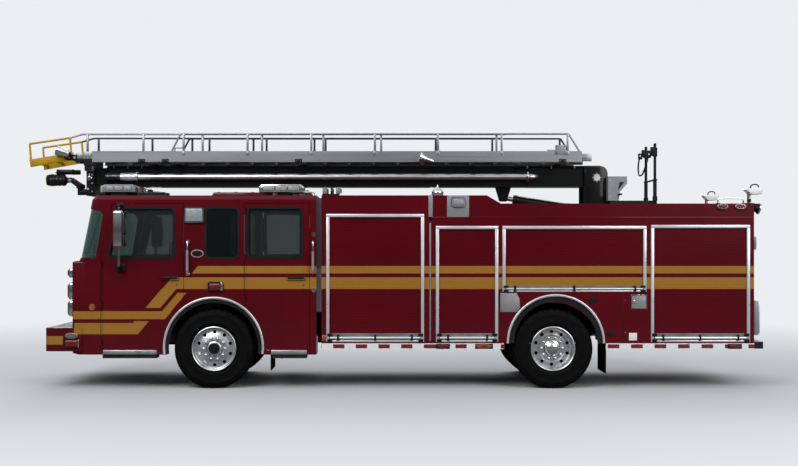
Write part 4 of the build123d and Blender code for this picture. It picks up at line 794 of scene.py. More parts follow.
def wheel(kind, side_name):
    """Tyres and a disc wheel over one packed wheel."""
    flip = side_name == "right"
    label = kind + "_" + side_name
    low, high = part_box("wheel_" + label)
    centre = (low + high) / 2
    inner_y, face_y = sorted((abs(low.y), abs(high.y)))
    twin = kind == "rear"
    width = twin_width if twin else face_y - inner_y
    tyres = Piece("tyre_" + label, label + "_wheel", "tyre", rubber)
    for lap in range(2 if twin else 1):
        outer = face_y - lap * (width + twin_gap)
        tyres.take(tyre(width, (centre.x, outer - width / 2, centre.z)), flip=flip)

    rims = Piece("rim_" + label, label + "_wheel", "chrome", polished)
    cutters = bmesh.new()
    for x, z in around(hole_circle, hole_count, 0.5):
        hole = pin(x, (face_y - 0.02, face_y - 0.25), z, 0.024, 20)
        join(cutters, hole)
        hole.free()
    disc = cut(rim(kind, face_y, width), cutters)
    bmesh.ops.translate(disc, vec=(centre.x, 0, centre.z), verts=disc.verts[:])
    rims.take(disc, flip=flip)
    seat = face_y - wheel_looks[kind][-1][1]
    for dx, dz in around(nut_circle, hole_count):
        x, z = centre.x + dx, centre.z + dz
        rims.take(pin(x, (seat - 0.006, seat + 0.008), z, 0.023, 12, 0.021), chrome, flip=flip)
        rims.take(pin(x, (seat + 0.006, seat + 0.034), z, 0.0175, 6, 0.015), chrome, flip=flip)
        rims.take(ball((x, seat + 0.034, z), (0.015, 0.009, 0.015), 10), chrome, flip=flip)
    for profile, steps, finish in hub_looks[kind]:
        line = [(radius, seat + depth) for radius, depth in profile]
        rims.take(turned(line, (centre.x, 0, centre.z), steps=steps, closed=False), finish, flip=flip)
    for made in (tyres.done(50), rims.done(30)):
        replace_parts(made, "wheel_" + label)


for kind in ("front", "rear"):
    for side_name in side_names:
        wheel(kind, side_name)
print("wheels made, tyre radius", round(tyre_reach, 3))

# %% [markdown]
# The roll-up shutters are curtains of narrow slats, painted like the body, in bright frames. A bump
# could draw the slats, but their edges show against the light, so one slat's section repeats up the
# opening and is extruded along X. A bright lift bar crosses the foot of each, held by black clips.
# %% Shutters
slat_pitch = 0.0382
frame_width = 0.041
shutter_face_y = 1.206
shutter_table = (
    # rear X, front X, low Z, high Z of each opening, foot height, clip places along it
    (-0.498, 0.817, 0.63, 2.351, 0.114, (-0.335, 0.16, 0.66)),
    (-1.495, -0.657, 0.63, 2.19, 0.114, (-1.345, -0.82)),
    (-3.489, -1.553, 1.305, 2.19, 0.084, (-3.335, -2.515, -1.72)),
    (-4.882, -3.55, 0.63, 2.204, 0.114, (-4.72, -4.209, -3.712)),
)


def curtain(x0, x1, z0, z1, face_y):
    """Slats from a repeated section, extruded along X."""
    small = bmesh.new()
    count = max(1, round((z1 - z0) / slat_pitch))
    pitch = (z1 - z0) / count
    section = []
    for index in range(count):
        foot = z0 + index * pitch
        section += [(foot + 0.001, -0.003), (foot + 0.003, 0.0), (foot + pitch - 0.003, 0.0),
                    (foot + pitch - 0.001, -0.003)]
    verts = [small.verts.new((x0, face_y + depth, z)) for z, depth in section]
    edges = [small.edges.new(pair) for pair in zip(verts, verts[1:])]
    grown = bmesh.ops.extrude_edge_only(small, edges=edges)["geom"]
    moved = [item for item in grown if isinstance(item, bmesh.types.BMVert)]
    bmesh.ops.translate(small, vec=(x1 - x0, 0, 0), verts=moved)
    bmesh.ops.recalc_face_normals(small, faces=small.faces[:])
    bmesh.ops.solidify(small, geom=small.faces[:], thickness=0.01)
    bmesh.ops.recalc_face_normals(small, faces=small.faces[:])
    return small


slats = Piece("shutter_slats", "chassis", "red_paint", red)
frames = Piece("shutter_frames", "chassis", "shutter_aluminium", bright_frame)
frame_y = (1.19, 1.232)
for x0, x1, z0, z1, foot, clips in shutter_table:
    slats.pair(curtain(x0 + 0.03, x1 - 0.03, z0 + foot, z1 - 0.03, shutter_face_y))
    frames.pair(bar((x0, x0 + frame_width), frame_y, (z0, z1)))
    frames.pair(bar((x1 - frame_width, x1), frame_y, (z0, z1)))
    frames.pair(bar((x0, x1), (1.188, 1.235), (z1 - frame_width, z1)))
    inner = (x0 + frame_width, x1 - frame_width)
    # The plate behind the lift bar is dark grey, painted shade for the shadow between the slats and the bar
    frames.pair(bar(inner, (1.196, 1.214), (z0, z0 + foot + 0.002)), engine_grey)
    bar_z = z0 + foot * 0.48
    frames.pair(pin((x0 + 0.05, x1 - 0.05), 1.23, bar_z, foot * 0.155, 20))
    frames.pair(bar(inner, (1.19, 1.226), (z0, z0 + foot * 0.22), 0.005))
    for x in clips:
        frames.pair(bar(span(x, 0.015), (1.205, 1.248), (bar_z - 0.034, bar_z + 0.044), 0.004), satin_black)
    for x in (x0 + 0.045, x1 - 0.045):
        for z in (z0 + 0.002, z0 + foot * 0.67):
            frames.pair(bar(span(x, 0.032), (1.205, 1.246), (z, z + foot * 0.34), 0.006), satin_black)
for made in (slats.done(25), frames.done()):
    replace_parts(made, "shutters")

# %% [markdown]
# The doors carry black window seals, handles, locks and, in front, chrome mirrors. All of it could
# be one piece on the cab, but what sits on a door rides on that door, so that it swings with it.
# %% Cab doors and mirrors
sill, lintel = 1.762, 2.432
door_windows = {
    "front": ((3.757, sill), (3.605, lintel), (2.856, lintel), (2.856, sill)),
    "rear": rect((1.144, 1.877), (sill, lintel)),
}
handle_places = {"front": (2.8, 3.055), "rear": (1.097, 1.352)}
wall_y = 1.22


def proud(out, foot=-0.001):
    """The Y pair of something on the side wall, from its foot to how far it stands out."""
    return wall_y + foot, wall_y + out


seal_y = span(wall_y, 0.006)


def seal(piece, outline, flip, both=False):
    """A rubber seal over a window's edge and the dark printed border inside it."""
    piece.take(band(inset(outline, -0.016), 0.03, seal_y, 0.085), both=both, flip=flip)
    piece.take(band(inset(outline, 0.001), 0.032, (wall_y - 0.039, wall_y - 0.028), 0.062), both=both, flip=flip)


def mirror_arms(piece, flip):
    """The chrome mirror on its two arms, with a black foot below."""
    head = bar((3.504, 3.646), (1.277, 1.473), (1.902, 2.392), 0.03, 5)
    piece.take(head, chrome, flip=flip)
    piece.take(bar((3.498, 3.51), (1.292, 1.458), (1.925, 2.37), 0.004), flip=flip)
    for z in ((2.09, 2.355), (1.94, 2.07)):
        piece.take(bar((3.495, 3.4995), (1.302, 1.448), z, 0.001), chrome, flip=flip)
    for z in (1.64, 2.455):
        piece.take(bar((3.556, 3.614), (1.222, 1.356), span(z, 0.0205), 0.012, 3), flip=flip)
        piece.take(bar((3.53, 3.64), (1.2195, 1.232), span(z, 0.045), 0.004), flip=flip)
    piece.take(pin(3.585, 1.338, (1.63, 2.465), 0.017, 16), chrome, flip=flip)
    piece.take(bar((3.511, 3.632), (1.2195, 1.262), (1.571, 1.692), 0.016, 3), flip=flip)


for side_name in side_names:
    flip = side_name == "right"
    for kind, outline in door_windows.items():
        label = kind + "_" + side_name
        trim = Piece("door_trim_" + label, label + "_door", "black_plastic", satin_black)
        seal(trim, outline, flip)
        x0, x1 = handle_places[kind]
        trim.take(bar((x0 + 0.01, x1 - 0.01), (wall_y, 1.2495), (1.472, 1.512), 0.014, 3), flip=flip)
        trim.take(bar((x0 + 0.004, x0 + 0.075), proud(0.006, -0.002), (1.462, 1.518), 0.003), flip=flip)
        lock_x = x0 + 0.03
        trim.take(pin(lock_x, proud(0.006, -0.002), 1.4, 0.013, 16), chrome, flip=flip)
        if kind == "front":
            mirror_arms(trim, flip)
        trim.done()

# %% [markdown]
# Between its doors the cab's wall has a window of its own, a blank oval badge and the round feet of
# the grab handles. The badge is an oval plate with a smaller dark one on it, and carries no sign.
# %% Window and badge on the wall
fixed_window = rect((1.999, 2.44), (sill, lintel))
cab_trim = Piece("cab_wall_trim", "chassis", "black_plastic", satin_black)
seal(cab_trim, fixed_window, False, both=True)
cab_trim.pair(oval((2.467, 2.64), proud(0.006), (1.765, 1.873)), polished)
cab_trim.pair(oval((2.48, 2.627), proud(0.009, 0.004), (1.778, 1.86)))
for x, z in ((2.68, 1.522), (2.68, 2.002), (0.985, 1.3), (0.985, 2.1)):
    inward = 0.025 if z < 1.7 else -0.025
    cab_trim.pair(pin(x, (1.219, 1.229), z + inward, 0.03, 20), chrome)
cab_trim.done()

# %% [markdown]
# The side lamps differ in size, depth and colour, so one function makes the common kind: a rounded
# ring round a ribbed lens. The others are ovals and bars. All frames are one piece and all lenses
# another.
# %% Lamps on the sides
lamp_rims = Piece("side_lamp_rims", "chassis", "lamp_housing", chrome)
lamp_glass = Piece("side_lamp_lenses", "chassis", "lightbar_lens", clear_lens)


def side_lamp(x, z, lens_look, rim=0.016, depth=0.036, housing=chrome):
    """A rectangular lamp: a bright frame round a moulded lens."""
    lamp_rims.pair(band(rect(x, z), rim, proud(depth), 0.02), housing)
    lens_x, lens_z = (x[0] + rim, x[1] - rim), (z[0] + rim, z[1] - rim)
    lamp_glass.pair(bar(lens_x, proud(depth + 0.01, 0.002), lens_z, 0.014, 3), lens_look)
    lamp_rims.pair(bar(lens_x, proud(0.004), lens_z, 0.001), satin_black)
    lamp_rims.pair(band(rect(x, z), -0.007, proud(0.006), 0.02), satin_black)
    ribs = 7
    for rib in range(1, ribs):
        middle = lens_x[0] + rib * (lens_x[1] - lens_x[0]) / ribs
        rib_z = (lens_z[0] + 0.012, lens_z[1] - 0.012)
        lamp_glass.pair(bar(span(middle, 0.003), proud(depth + 0.0125, depth + 0.006), rib_z, 0.002), lens_look)


side_lamp((2.462, 2.723), (2.233, 2.44), clear_lens)
side_lamp((2.206, 2.404), (1.316, 1.432), red_lens, 0.013, housing=satin_black)
lamp_rims.pair(bar((2.206, 2.232), proud(0.047, 0), (1.318, 1.43), 0.006))
lamp_glass.pair(oval((3.922, 4.011), (1.2, 1.238), (1.047, 1.141), 0.01), amber_lens)
lamp_rims.pair(oval((3.914, 4.019), (1.196, 1.222), (1.039, 1.149), 0.002), satin_black)
# Grey panel on the body with its lamp
lamp_rims.pair(bar((-1.102, -0.807), proud(0.006), (2.311, 2.603), 0.002), grey_box)
for z in (2.325, 2.59):
    for x in (-1.09, -0.82):
        lamp_rims.pair(pin(x, proud(0.01, 0), z, 0.006, 10))
side_lamp((-1.048, -0.874), (2.45, 2.572), clear_lens, 0.018, housing=grey_box)
for x in ((-4.828, -4.672), (-4.586, -4.432)):
    lamp_rims.pair(oval(x, proud(0.034), (2.418, 2.49), 0.004))
    lamp_glass.pair(oval((x[0] + 0.018, x[1] - 0.018), proud(0.042, 0.02), (2.432, 2.477), 0.008), red_lens)
# Tail lamps, three a side, standing proud of the rear wall
for row, colour in ((1.96, red_lens), (1.76, amber_lens), (1.56, clear_lens)):
    deep = 0.035 if row > 1.9 else 0.0
    lamp_rims.pair(bar((-4.946 - deep, -4.937), (0.985, 1.175), span(row, 0.088), 0.004), grey_box)
    lamp_glass.pair(bar((-4.955 - deep, -4.944), (1.002, 1.158), span(row, 0.072), 0.005, 3), colour)
# Front markers and the lamps in the bumper's side
wing_y = 1.238
lamp_rims.pair(oval((4.154, 4.327), (wing_y - 0.001, wing_y + 0.012), (0.677, 0.751)))
lamp_rims.pair(oval((4.166, 4.315), (wing_y + 0.008, wing_y + 0.018), (0.688, 0.74)), engine_grey)
side_lamp((4.13, 4.342), (0.549, 0.67), red_lens, 0.014, 0.034, satin_black)
lamp_rims.pair(bar((4.134, 4.15), (wing_y, wing_y + 0.026), (0.553, 0.666), 0.006))
lamp_glass.pair(bar((0.822, 0.876), proud(0.012), (0.643, 0.724), 0.006), amber_lens)
for made in (lamp_rims.done(), lamp_glass.done()):
    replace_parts(made, "lamps")

# %% [markdown]
# The windscreen leans back. Its post, its seals and its two wipers could be made upright and turned,
# but taking X from one function of the height puts each of them on the glass at once.
# %% Windscreen and wipers
screen_tilt = 0.2105


def screen_x(z):
    """X of the windscreen's face at a height."""
    return 4.16 - screen_tilt * (z - 1.719)


face_trim = Piece("cab_face_trim", "chassis", "black_plastic", satin_black)
face_trim.take(rod((screen_x(1.745) - 0.004, 0, 1.745), (screen_x(2.43) - 0.004, 0, 2.43), 0.018, 12))
for z in (1.75, 2.425):
    face_trim.take(bar((screen_x(z) - 0.01, screen_x(z) + 0.005), (-0.96, 0.96), span(z, 0.014), 0.005), rubber)
for side in (1, -1):
    foot = Vector((screen_x(1.735) + 0.012, side * 0.3, 1.735))
    tip = Vector((screen_x(2.16) + 0.016, side * 0.62, 2.16))
    face_trim.take(rod(foot, tip, 0.008, 10, 0.005))
    face_trim.take(rod(foot - Vector((0.03, 0, 0)), foot + Vector((0.012, 0, 0)), 0.024, 16))
    low = Vector((screen_x(1.83) + 0.008, side * 0.7, 1.83))
    high = Vector((screen_x(2.36) + 0.008, side * 0.5, 2.36))
    face_trim.take(rod(low, high, 0.0065, 8), rubber)
    for share in (0.1, 0.5, 0.9):
        spot = low.lerp(high, share)
        face_trim.take(bar((spot.x - 0.004, spot.x + 0.012), span(spot.y, 0.008), span(spot.z, 0.02), 0.003))
face_trim.done()

# %% [markdown]
# The grille could be cut from a plate, but rows of rounded bars before a dark one give the same real
# shadows with far fewer faces. The painted cowl round it is a box with a wide rounded edge, and two
# more carry that edge round the corners.
# %% Grille and cowl
grille_x, bar_count, upright_count = 4.236, 7, 9
grille_trim = Piece("grille_trim", "chassis", "chrome", chrome)
grille_trim.take(bar((4.2375, 4.2415), (-0.5, 0.5), (0.955, 1.595), 0.001), satin_black)
for row in range(bar_count):
    z = 1.0 + row * 0.091
    grille_trim.take(bar((grille_x, 4.272), (-0.505, 0.505), span(z, 0.016), 0.007, 3))
for column in range(upright_count):
    y = -0.44 + column * 0.11
    grille_trim.take(bar((grille_x, 4.262), span(y, 0.004), (0.955, 1.595), 0.001), satin_black)
for z in (0.925, 1.625):
    grille_trim.pair(pin((4.262, 4.27), 0.535, z, 0.01, 12))
grille_trim.done()

cowl = Piece("cowl_skin", "chassis", "red_paint", red)
cowl.take(bar((4.15, 4.237), (-1.2215, 1.2215), (0.47, 1.7165), 0.03, 5))
cowl.pair(bar((4.05, 4.212), (1.12, 1.2212), (0.4705, 1.716), 0.026, 5))
cowl.done()

# %% [markdown]
# Three rows of two lamps stand on each side of the grille: clear ones below, clear and amber in the
# middle and red above. Every lamp is a lens on a dark tray in a chrome housing, since a lens alone
# looks painted on.
# %% Headlamps
head_glass = Piece("headlamp_lenses", "chassis", "lightbar_lens", clear_lens)
head_glass.pair(bar((4.236, 4.25), (0.598, 1.126), (0.945, 1.64), 0.012, 3), chrome)
for z, height, colour in ((1.075, 0.112, clear_lens), (1.311, 0.118, clear_lens), (1.557, 0.068, red_lens)):
    head_glass.pair(bar((4.238, 4.322), (0.614, 1.11), span(z, height), 0.034, 4), chrome)
    for y in (0.742, 0.982):
        lens_look = amber_lens if (z, y) == (1.311, 0.982) else colour
        head_glass.pair(bar((4.312, 4.326), span(y, 0.108), span(z, height - 0.028), 0.006), satin_black)
        head_glass.pair(bar((4.316, 4.336), span(y, 0.098), span(z, height - 0.036), 0.018, 3), lens_look)
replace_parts(head_glass.done(), "front_lamps")

# %% [markdown]
# The cab can be seen into, so its six seats are stuffed forms and not boxes. A cushion starts as a
# subdivided cube. It is crowned in the middle, its sides pull in between the corners, and it has two
# sewn channels. A cloth simulation could puff it up too, but takes far longer for the same look.
# %% Seats
def cushion(x, y, z, thin="z", crown=0.35, pull=0.035, cuts=9):
    """A stuffed pad that fills three (low, high) pairs and is thinnest at its edge."""
    small = bmesh.new()
    bmesh.ops.create_cube(small, size=2.0)
    bmesh.ops.subdivide_edges(small, edges=small.edges[:], cuts=cuts, use_grid_fill=True)
    order = {"z": (0, 1, 2), "x": (1, 2, 0)}[thin]
    half = [abs(pair[1] - pair[0]) / 2 for pair in (x, y, z)]
    middle = Vector([sum(pair) / 2 for pair in (x, y, z)])
    for vert in small.verts:
        u, v, w = (vert.co[axis] for axis in order)
        rise = 1 - crown * (1 - (1 - abs(u) ** 3.2) * (1 - abs(v) ** 3.2))
        groove = 0.09 * (max(0.0, 1 - abs(abs(v) - 0.48) / 0.1) if abs(w) > 0.98 and abs(u) < 0.85 else 0.0)
        edge = 1 - 0.06 * w * w
        place = [0.0, 0.0, 0.0]
        place[order[0]] = u * (1 - pull * (1 - v * v)) * edge
        place[order[1]] = v * (1 - pull * (1 - u * u)) * edge
        place[order[2]] = w * (rise - groove)
        vert.co = middle + Vector([share * reach for share, reach in zip(place, half)])
    bmesh.ops.smooth_vert(small, verts=small.verts[:], factor=0.4, use_axis_x=True, use_axis_y=True, use_axis_z=True)
    return small


front_seat_x, rear_seat_x = 3.18, 1.37
seat_places = [(front_seat_x, y) for y in (0.76, -0.76)] + [(rear_seat_x, y) for y in (0.82, 0.28, -0.28, -0.82)]
seat_frames = Piece("seat_frames", "chassis", "black_plastic", satin_black)
for index, (x, y) in enumerate(seat_places):
    wide = span(y, 0.225)
    pads = {
        "cushion": cushion((x - 0.24, x + 0.25), wide, (1.298, 1.424)),
        "back": cushion((x - 0.33, x - 0.213), wide, (1.3, 1.98), "x"),
        "headrest": cushion((x - 0.322, x - 0.236), span(y, 0.132), (2.018, 2.172), "x", 0.3, 0.02, 7),
    }
    for part, form in pads.items():
        pad = Piece("seat_" + part + "_" + str(index + 1), "chassis", "seat_fabric", cloth).take(form).done(60)
        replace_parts(pad, "seats")
    seat_frames.take(bar((x - 0.035, x + 0.165), span(y, 0.16), (1.001, 1.245), 0.01))
    seat_frames.take(bar((x - 0.332, x + 0.225), span(y, 0.205), (1.242, 1.297), 0.012))
    seat_frames.take(bar((x - 0.345, x - 0.331), span(y, 0.2), (1.27, 1.95), 0.006))
    for post in (-0.05, 0.05):
        seat_frames.take(pin(x - 0.28, y + post, (1.95, 2.04), 0.007, 10), steel)
    belt = [(x - 0.25, y + 0.19, 1.985), (x - 0.205, y + 0.17, 1.93), (x - 0.19, y + 0.02, 1.66),
            (x - 0.15, y - 0.19, 1.43)]
    seat_frames.take(tube(belt, 0.008, 0.25), cloth)
    seat_frames.take(bar((x - 0.19, x - 0.14), (y - 0.225, y - 0.195), (1.3, 1.44), 0.008))
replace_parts(seat_frames.done(), "seats")

# %% [markdown]
# The dash gets its gauges, switches and a steering wheel. A torus would do for the wheel's grip, but
# the function for spun forms also takes a small circle, and leans it with the column.
# %% Dash and steering wheel
dash = Piece("dash_detail", "chassis", "black_plastic", plastic)
wheel_hub, wheel_lean = Vector((3.64, 0.7, 1.6)), Vector((-0.819, 0, 0.574))
grip_turns = [2 * pi * step / 12 for step in range(12)]
grip = [(0.199 + 0.0175 * cos(turn), 0.0175 * sin(turn)) for turn in grip_turns]
dash.take(turned(grip, wheel_hub, wheel_lean, 40), rubber)
horn_pad = ((0.0, 0.022), (0.05, 0.018), (0.062, 0.0), (0.055, -0.02), (0.0, -0.022))
dash.take(turned(horn_pad, wheel_hub, wheel_lean, 28, False))
for y in (0.505, 0.755):
    dash.take(bar((3.628, 3.652), (y, y + 0.14), (1.588, 1.612), 0.005), steel)
dash.take(bar((3.785, 3.96), (0.42, 0.98), (1.655, 1.7), 0.015, 3), satin_black)
for y in (0.56, 0.7, 0.84):
    dash.take(pin((3.79, 3.772), y, 1.565, 0.052, 24), steel)
    dash.take(pin((3.785, 3.77), y, 1.565, 0.045, 24), clear_lens)
for row in range(3):
    for column in range(5):
        y, z = -0.24 + column * 0.12, 1.28 + row * 0.08
        dash.take(bar((3.493, 3.505), (y, y + 0.06), (z, z + 0.05), 0.004), satin_black)
dash.take(bar((3.49, 3.503), (-0.16, 0.16), (1.12, 1.235), 0.008), clear_lens)
for y in (-0.62, -0.3, 0.3):
    dash.take(bar((3.772, 3.785), span(y, 0.07), (1.55, 1.585), 0.004), satin_black)
dash.take(bar((3.773, 3.785), (-0.95, -0.48), (1.36, 1.5), 0.008), satin_black)
dash.done()

# %% [markdown]
# A light bar is a dark case under a row of coloured lens blocks. Painting the colours on one long
# lens would be simpler, but real blocks have gaps and edges that show close by.
# %% Light bars
roof_z = 2.6
bars = Piece("light_bar_cases", "chassis", "lamp_housing", chrome)
bar_glass = Piece("light_bar_lenses", "chassis", "lightbar_lens", clear_lens)
bar_table = (
    # rear X, front X, inner Y, colours outwards from the middle, cap finish
    (3.406, 3.864, 0.25, (clear_lens, red_lens, clear_lens, red_lens), grey_box),
    (1.133, 1.732, 0.5, (red_lens, clear_lens, red_lens), chrome),
)


def bar_outline(x0, x1, z0, z1, slope=0.031):
    """The side view of a light bar: a low box with sloping shoulders."""
    return (x0, z0), (x0, z1 - slope), (x0 + slope, z1), (x1 - slope, z1), (x1, z1 - slope), (x1, z0)


for x0, x1, inner, colours, cap_finish in bar_table:
    middle = (x0 + x1) / 2
    bars.pair(bar((x0 - 0.003, x1 + 0.003), (inner, 1.128), (2.651, 2.669), 0.004))
    bars.pair(bar(span(middle, 0.112), (inner + 0.048, 1.082), (roof_z + 0.0025, 2.655), 0.006), satin_black)
    bars.pair(panel(bar_outline(x0 + 0.02, x1 - 0.02, 2.665, 2.738), (inner + 0.01, 1.115)), satin_black)
    cap = bar_outline(x0, x1, 2.655, 2.752)
    bars.pair(panel(cap, (1.116, 1.134), 0.004), cap_finish)
    bars.pair(panel(cap, (inner - 0.004, inner + 0.012), 0.003))
    third = (x1 - x0 - 0.09) / 3
    for index in range(3):
        start = x0 + 0.045 + index * third
        bars.pair(band(rect((start + 0.004, start + third - 0.004), (2.672, 2.742)), 0.007, (1.133, 1.1385), 0.014))
        bar_glass.pair(bar((start + 0.01, start + third - 0.01), (1.13, 1.1395), (2.678, 2.736), 0.008))
    step = (1.114 - inner - 0.014) / len(colours)
    for index, colour in enumerate(colours):
        low = inner + 0.014 + index * step
        lens_form = panel(bar_outline(x0 + 0.002, x1 - 0.002, 2.668, 2.75), (low + 0.004, low + step - 0.004), 0.005)
        bar_glass.pair(lens_form, colour)
for made in (bars.done(), bar_glass.done()):
    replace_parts(made, "light_bars")

# %% [markdown]
# The roof also carries a low hump with ribs, boxes, rails and domes, and the pads of the boom's
# cradle. They're joined in one piece, except for the pads, whose slot is rubber.
# %% Roof fittings
roof = Piece("roof_details", "chassis", "polished_trim", chrome)
roof.take(panel(((1.508, 2.602), (1.55, 2.679), (2.445, 2.679), (2.489, 2.602)), (-0.405, 0.405), 0.012, 3), red)
for x in (1.66, 1.9, 2.14, 2.38):
    roof.take(bar(span(x, 0.02), (-0.36, 0.36), (2.676, 2.686), 0.004), red)
roof.pair(bar((3.019, 3.385), (0.698, 1.002), (roof_z + 0.0025, 2.652), 0.008), satin_black)
for y in ((0.995, 1.012), (0.688, 0.704)):
    roof.pair(band(rect((3.016, 3.388), (roof_z + 0.003, 2.656)), 0.009, y, 0.012))
roof.pair(panel(((3.955, 2.668), (3.832, 2.648), (3.838, 2.604), (3.938, 2.601)), (0.62, 0.9), 0.008), satin_black)
rail = side_line(1.02, (1.415, roof_z), (1.405, 2.64), (1.36, 2.65), (1.02, 2.65), (0.985, 2.64), (0.975, roof_z))
roof.pair(tube(rail, 0.011, 0.3))
for x in (1.1, 1.2, 1.3):
    roof.pair(pin(x, 1.02, (roof_z, 2.65), 0.008, 10), satin_black)
dome_x, dome_y = -0.693, 0.9
dome = ((0.0, 2.762), (0.006, 2.76), (0.01, 2.735), (0.03, 2.718), (0.066, 2.688), (0.081, 2.66), (0.083, 2.648),
         (0.079, 2.64))
roof.pair(turned(dome, (dome_x, dome_y, 0), (0, 0, 1), 32, False))
roof.pair(pin(dome_x, dome_y, (2.3, roof_z), 0.06, 24), satin_black)
roof.pair(pin(dome_x, dome_y, (roof_z, 2.642), 0.074, 32, 0.08), grey_box)
roof.pair(pin(0.625, 1.06, (roof_z + 0.003, 2.645), 0.028, 20, 0.003), trim_white)
roof.pair(pin(0.625, 1.06, (roof_z, 2.608), 0.036, 20), steel)
roof.pair(pin(1.52, 1.135, (roof_z + 0.003, 2.64), 0.045, 20, 0.03), red)
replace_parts(roof.done(), "roof_fittings")

cradle = Piece("cradle_pads", "chassis", "rubber", grey_box)
for x in (0.692, 0.884):
    cradle.pair(bar(span(x, 0.034), (0.172, 0.238), (2.664, 2.7545), 0.008))
cradle.pair(pin(0.788, (0.222, 0.2285), 2.72, 0.012, 6), steel)
cradle.done()

# %% [markdown]
# The body's rear corners carry a floodlight on a post, a round lamp that looks back and down, and a
# short rail. Each is made once and mirrored. The round lamp is spun about its own tilted axis.
# %% Rear corner
flood_post_x = -4.9
round_lamp, round_lamp_way = (-5.038, 1.13, 2.424), (-0.966, 0, -0.259)
round_lamp_shell = ((0.0, -0.1), (0.045, -0.095), (0.058, -0.06), (0.064, -0.03), (0.07, -0.028), (0.072, -0.004),
                    (0.066, 0.0), (0.0, 0.001))
round_lamp_rim = ((0.064, -0.02), (0.078, -0.018), (0.08, -0.002), (0.074, 0.002), (0.064, 0.002))
round_lamp_lens = ((0.0, 0.006), (0.04, 0.003), (0.064, -0.002))
rear_top = Piece("rear_corner_lights", "chassis", "lamp_housing", chrome)
rear_glass = Piece("rear_corner_lenses", "chassis", "lightbar_lens", clear_lens)
rear_top.pair(pin(flood_post_x, 1.1, (2.493, 2.65), 0.0215, 20))
rear_top.pair(bar((-4.94, -4.86), (1.06, 1.14), (2.4925, 2.505), 0.004), satin_black)
head = ((-4.85, 2.69), (-5.045, 2.716), (-5.07, 2.7), (-5.06, 2.622), (-4.93, 2.612))
rear_top.pair(panel(head, (1.018, 1.182), 0.01, 3), trim_white)
rear_top.pair(band(((-4.922, 2.606), (-4.843, 2.684), (-4.85, 2.694), (-4.93, 2.616)), 0.003, (1.016, 1.184), 0.003))
rear_glass.pair(panel(((-4.927, 2.606), (-4.848, 2.684), (-4.851, 2.69), (-4.931, 2.612)), (1.03, 1.17), 0.001))
handle = side_line(1.1, (-4.925, 2.7), (-4.93, 2.735), (-4.955, 2.752), (-5.01, 2.752), (-5.03, 2.735),
                   (-5.03, 2.712))
rear_top.pair(tube(handle, 0.009, 0.3), satin_black)
rear_top.pair(ball((flood_post_x, 1.1, 2.64), (0.028, 0.028, 0.03), 16))
rear_top.pair(turned(round_lamp_shell, round_lamp, round_lamp_way, 32, False), satin_black)
rear_top.pair(turned(round_lamp_rim, round_lamp, round_lamp_way, 32))
rear_glass.pair(turned(round_lamp_lens, round_lamp, round_lamp_way, 32, False))
rear_top.pair(bar((-4.975, -4.925), (1.1, 1.16), (2.405, 2.5), 0.01), satin_black)
rear_top.pair(bar((-4.93, -4.88), (1.075, 1.125), (2.515, 2.56), 0.01), satin_black)
short_rail_x = (-4.46, -4.8)
short_rail = side_line(1.19, (short_rail_x[0], 2.49), (short_rail_x[0], 2.545), (-4.48, 2.562), (-4.78, 2.562),
                       (short_rail_x[1], 2.545), (short_rail_x[1], 2.49))
rear_top.pair(tube(short_rail, 0.01, 0.3))
for x in short_rail_x:
    rear_top.pair(pin(x, 1.19, (2.492, 2.5), 0.026, 16), satin_black)
for made in (rear_top.done(), rear_glass.done()):
    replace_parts(made, "floodlight")

# %% [markdown]
# The body's wall has small fittings between its shutters: a pale corner strip, a chamfered plate, a
# fuel door, dark ovals, a riveted seam and a blank placard. They stand a few millimetres proud of the
# wall and reach into it, so no two faces share a plane and flicker.
# %% Body wall
wall = Piece("body_wall_trim", "chassis", "polished_trim", grey_box)
wall.pair(bar((-0.614, -0.558), proud(0.004, -0.002), (2.311, 2.603), 0.002))
wall.pair(bar((-0.59, -0.571), proud(0.004, -0.002), (0.64, 2.23), 0.002))
chamfered = ((-1.752, 1.033), (-1.788, 1.095), (-1.782, 1.205), (-1.744, 1.289), (-1.525, 1.289), (-1.525, 1.033))
wall.pair(panel(chamfered, proud(0.006), 0.002))
for x in (-1.545, -1.735):
    for z in (1.06, 1.262):
        wall.pair(pin(x, proud(0.01, 0), z, 0.007, 10), chrome)
fuel_x, fuel_z = (-3.496, -3.281), (1.074, 1.269)
wall.pair(bar(fuel_x, proud(0.008), fuel_z, 0.004))
wall.pair(band(rect(fuel_x, fuel_z), 0.014, proud(0.012), 0.022), chrome)
wall.pair(bar((-3.33, -3.306), proud(0.018, 0), (1.15, 1.195), 0.005), chrome)
for x in (-3.46, -3.4):
    wall.pair(pin((x, x + 0.03), wall_y + 0.008, 1.262, 0.006, 10), chrome)
for x, z in ((-2.77, 1.188), (-3.007, 0.737)):
    wall.pair(oval(span(x, 0.07), proud(0.006), span(z, 0.034)), satin_black)
    wall.pair(oval(span(x, 0.058), proud(0.009, 0.004), span(z, 0.024)), satin_black)
wall.pair(bar((-3.18, -3.174), proud(0.0015), (0.657, 1.289), 0.0005), satin_black)
for z in (0.76, 1.19):
    wall.pair(pin(-3.205, proud(0.006, 0), z, 0.008, 10), chrome)
wall.pair(bar((-3.362, -3.254), proud(0.003), (0.65, 0.751), 0.0012), trim_white)
wall.pair(bar((-4.93, -0.6), proud(0.007), (2.298, 2.312), 0.003), red)
for step in range(12):
    z = 0.8 + step * 0.125
    wall.pair(pin(-0.632, proud(0.003), z, 0.0055, 8), red)
wall.done()

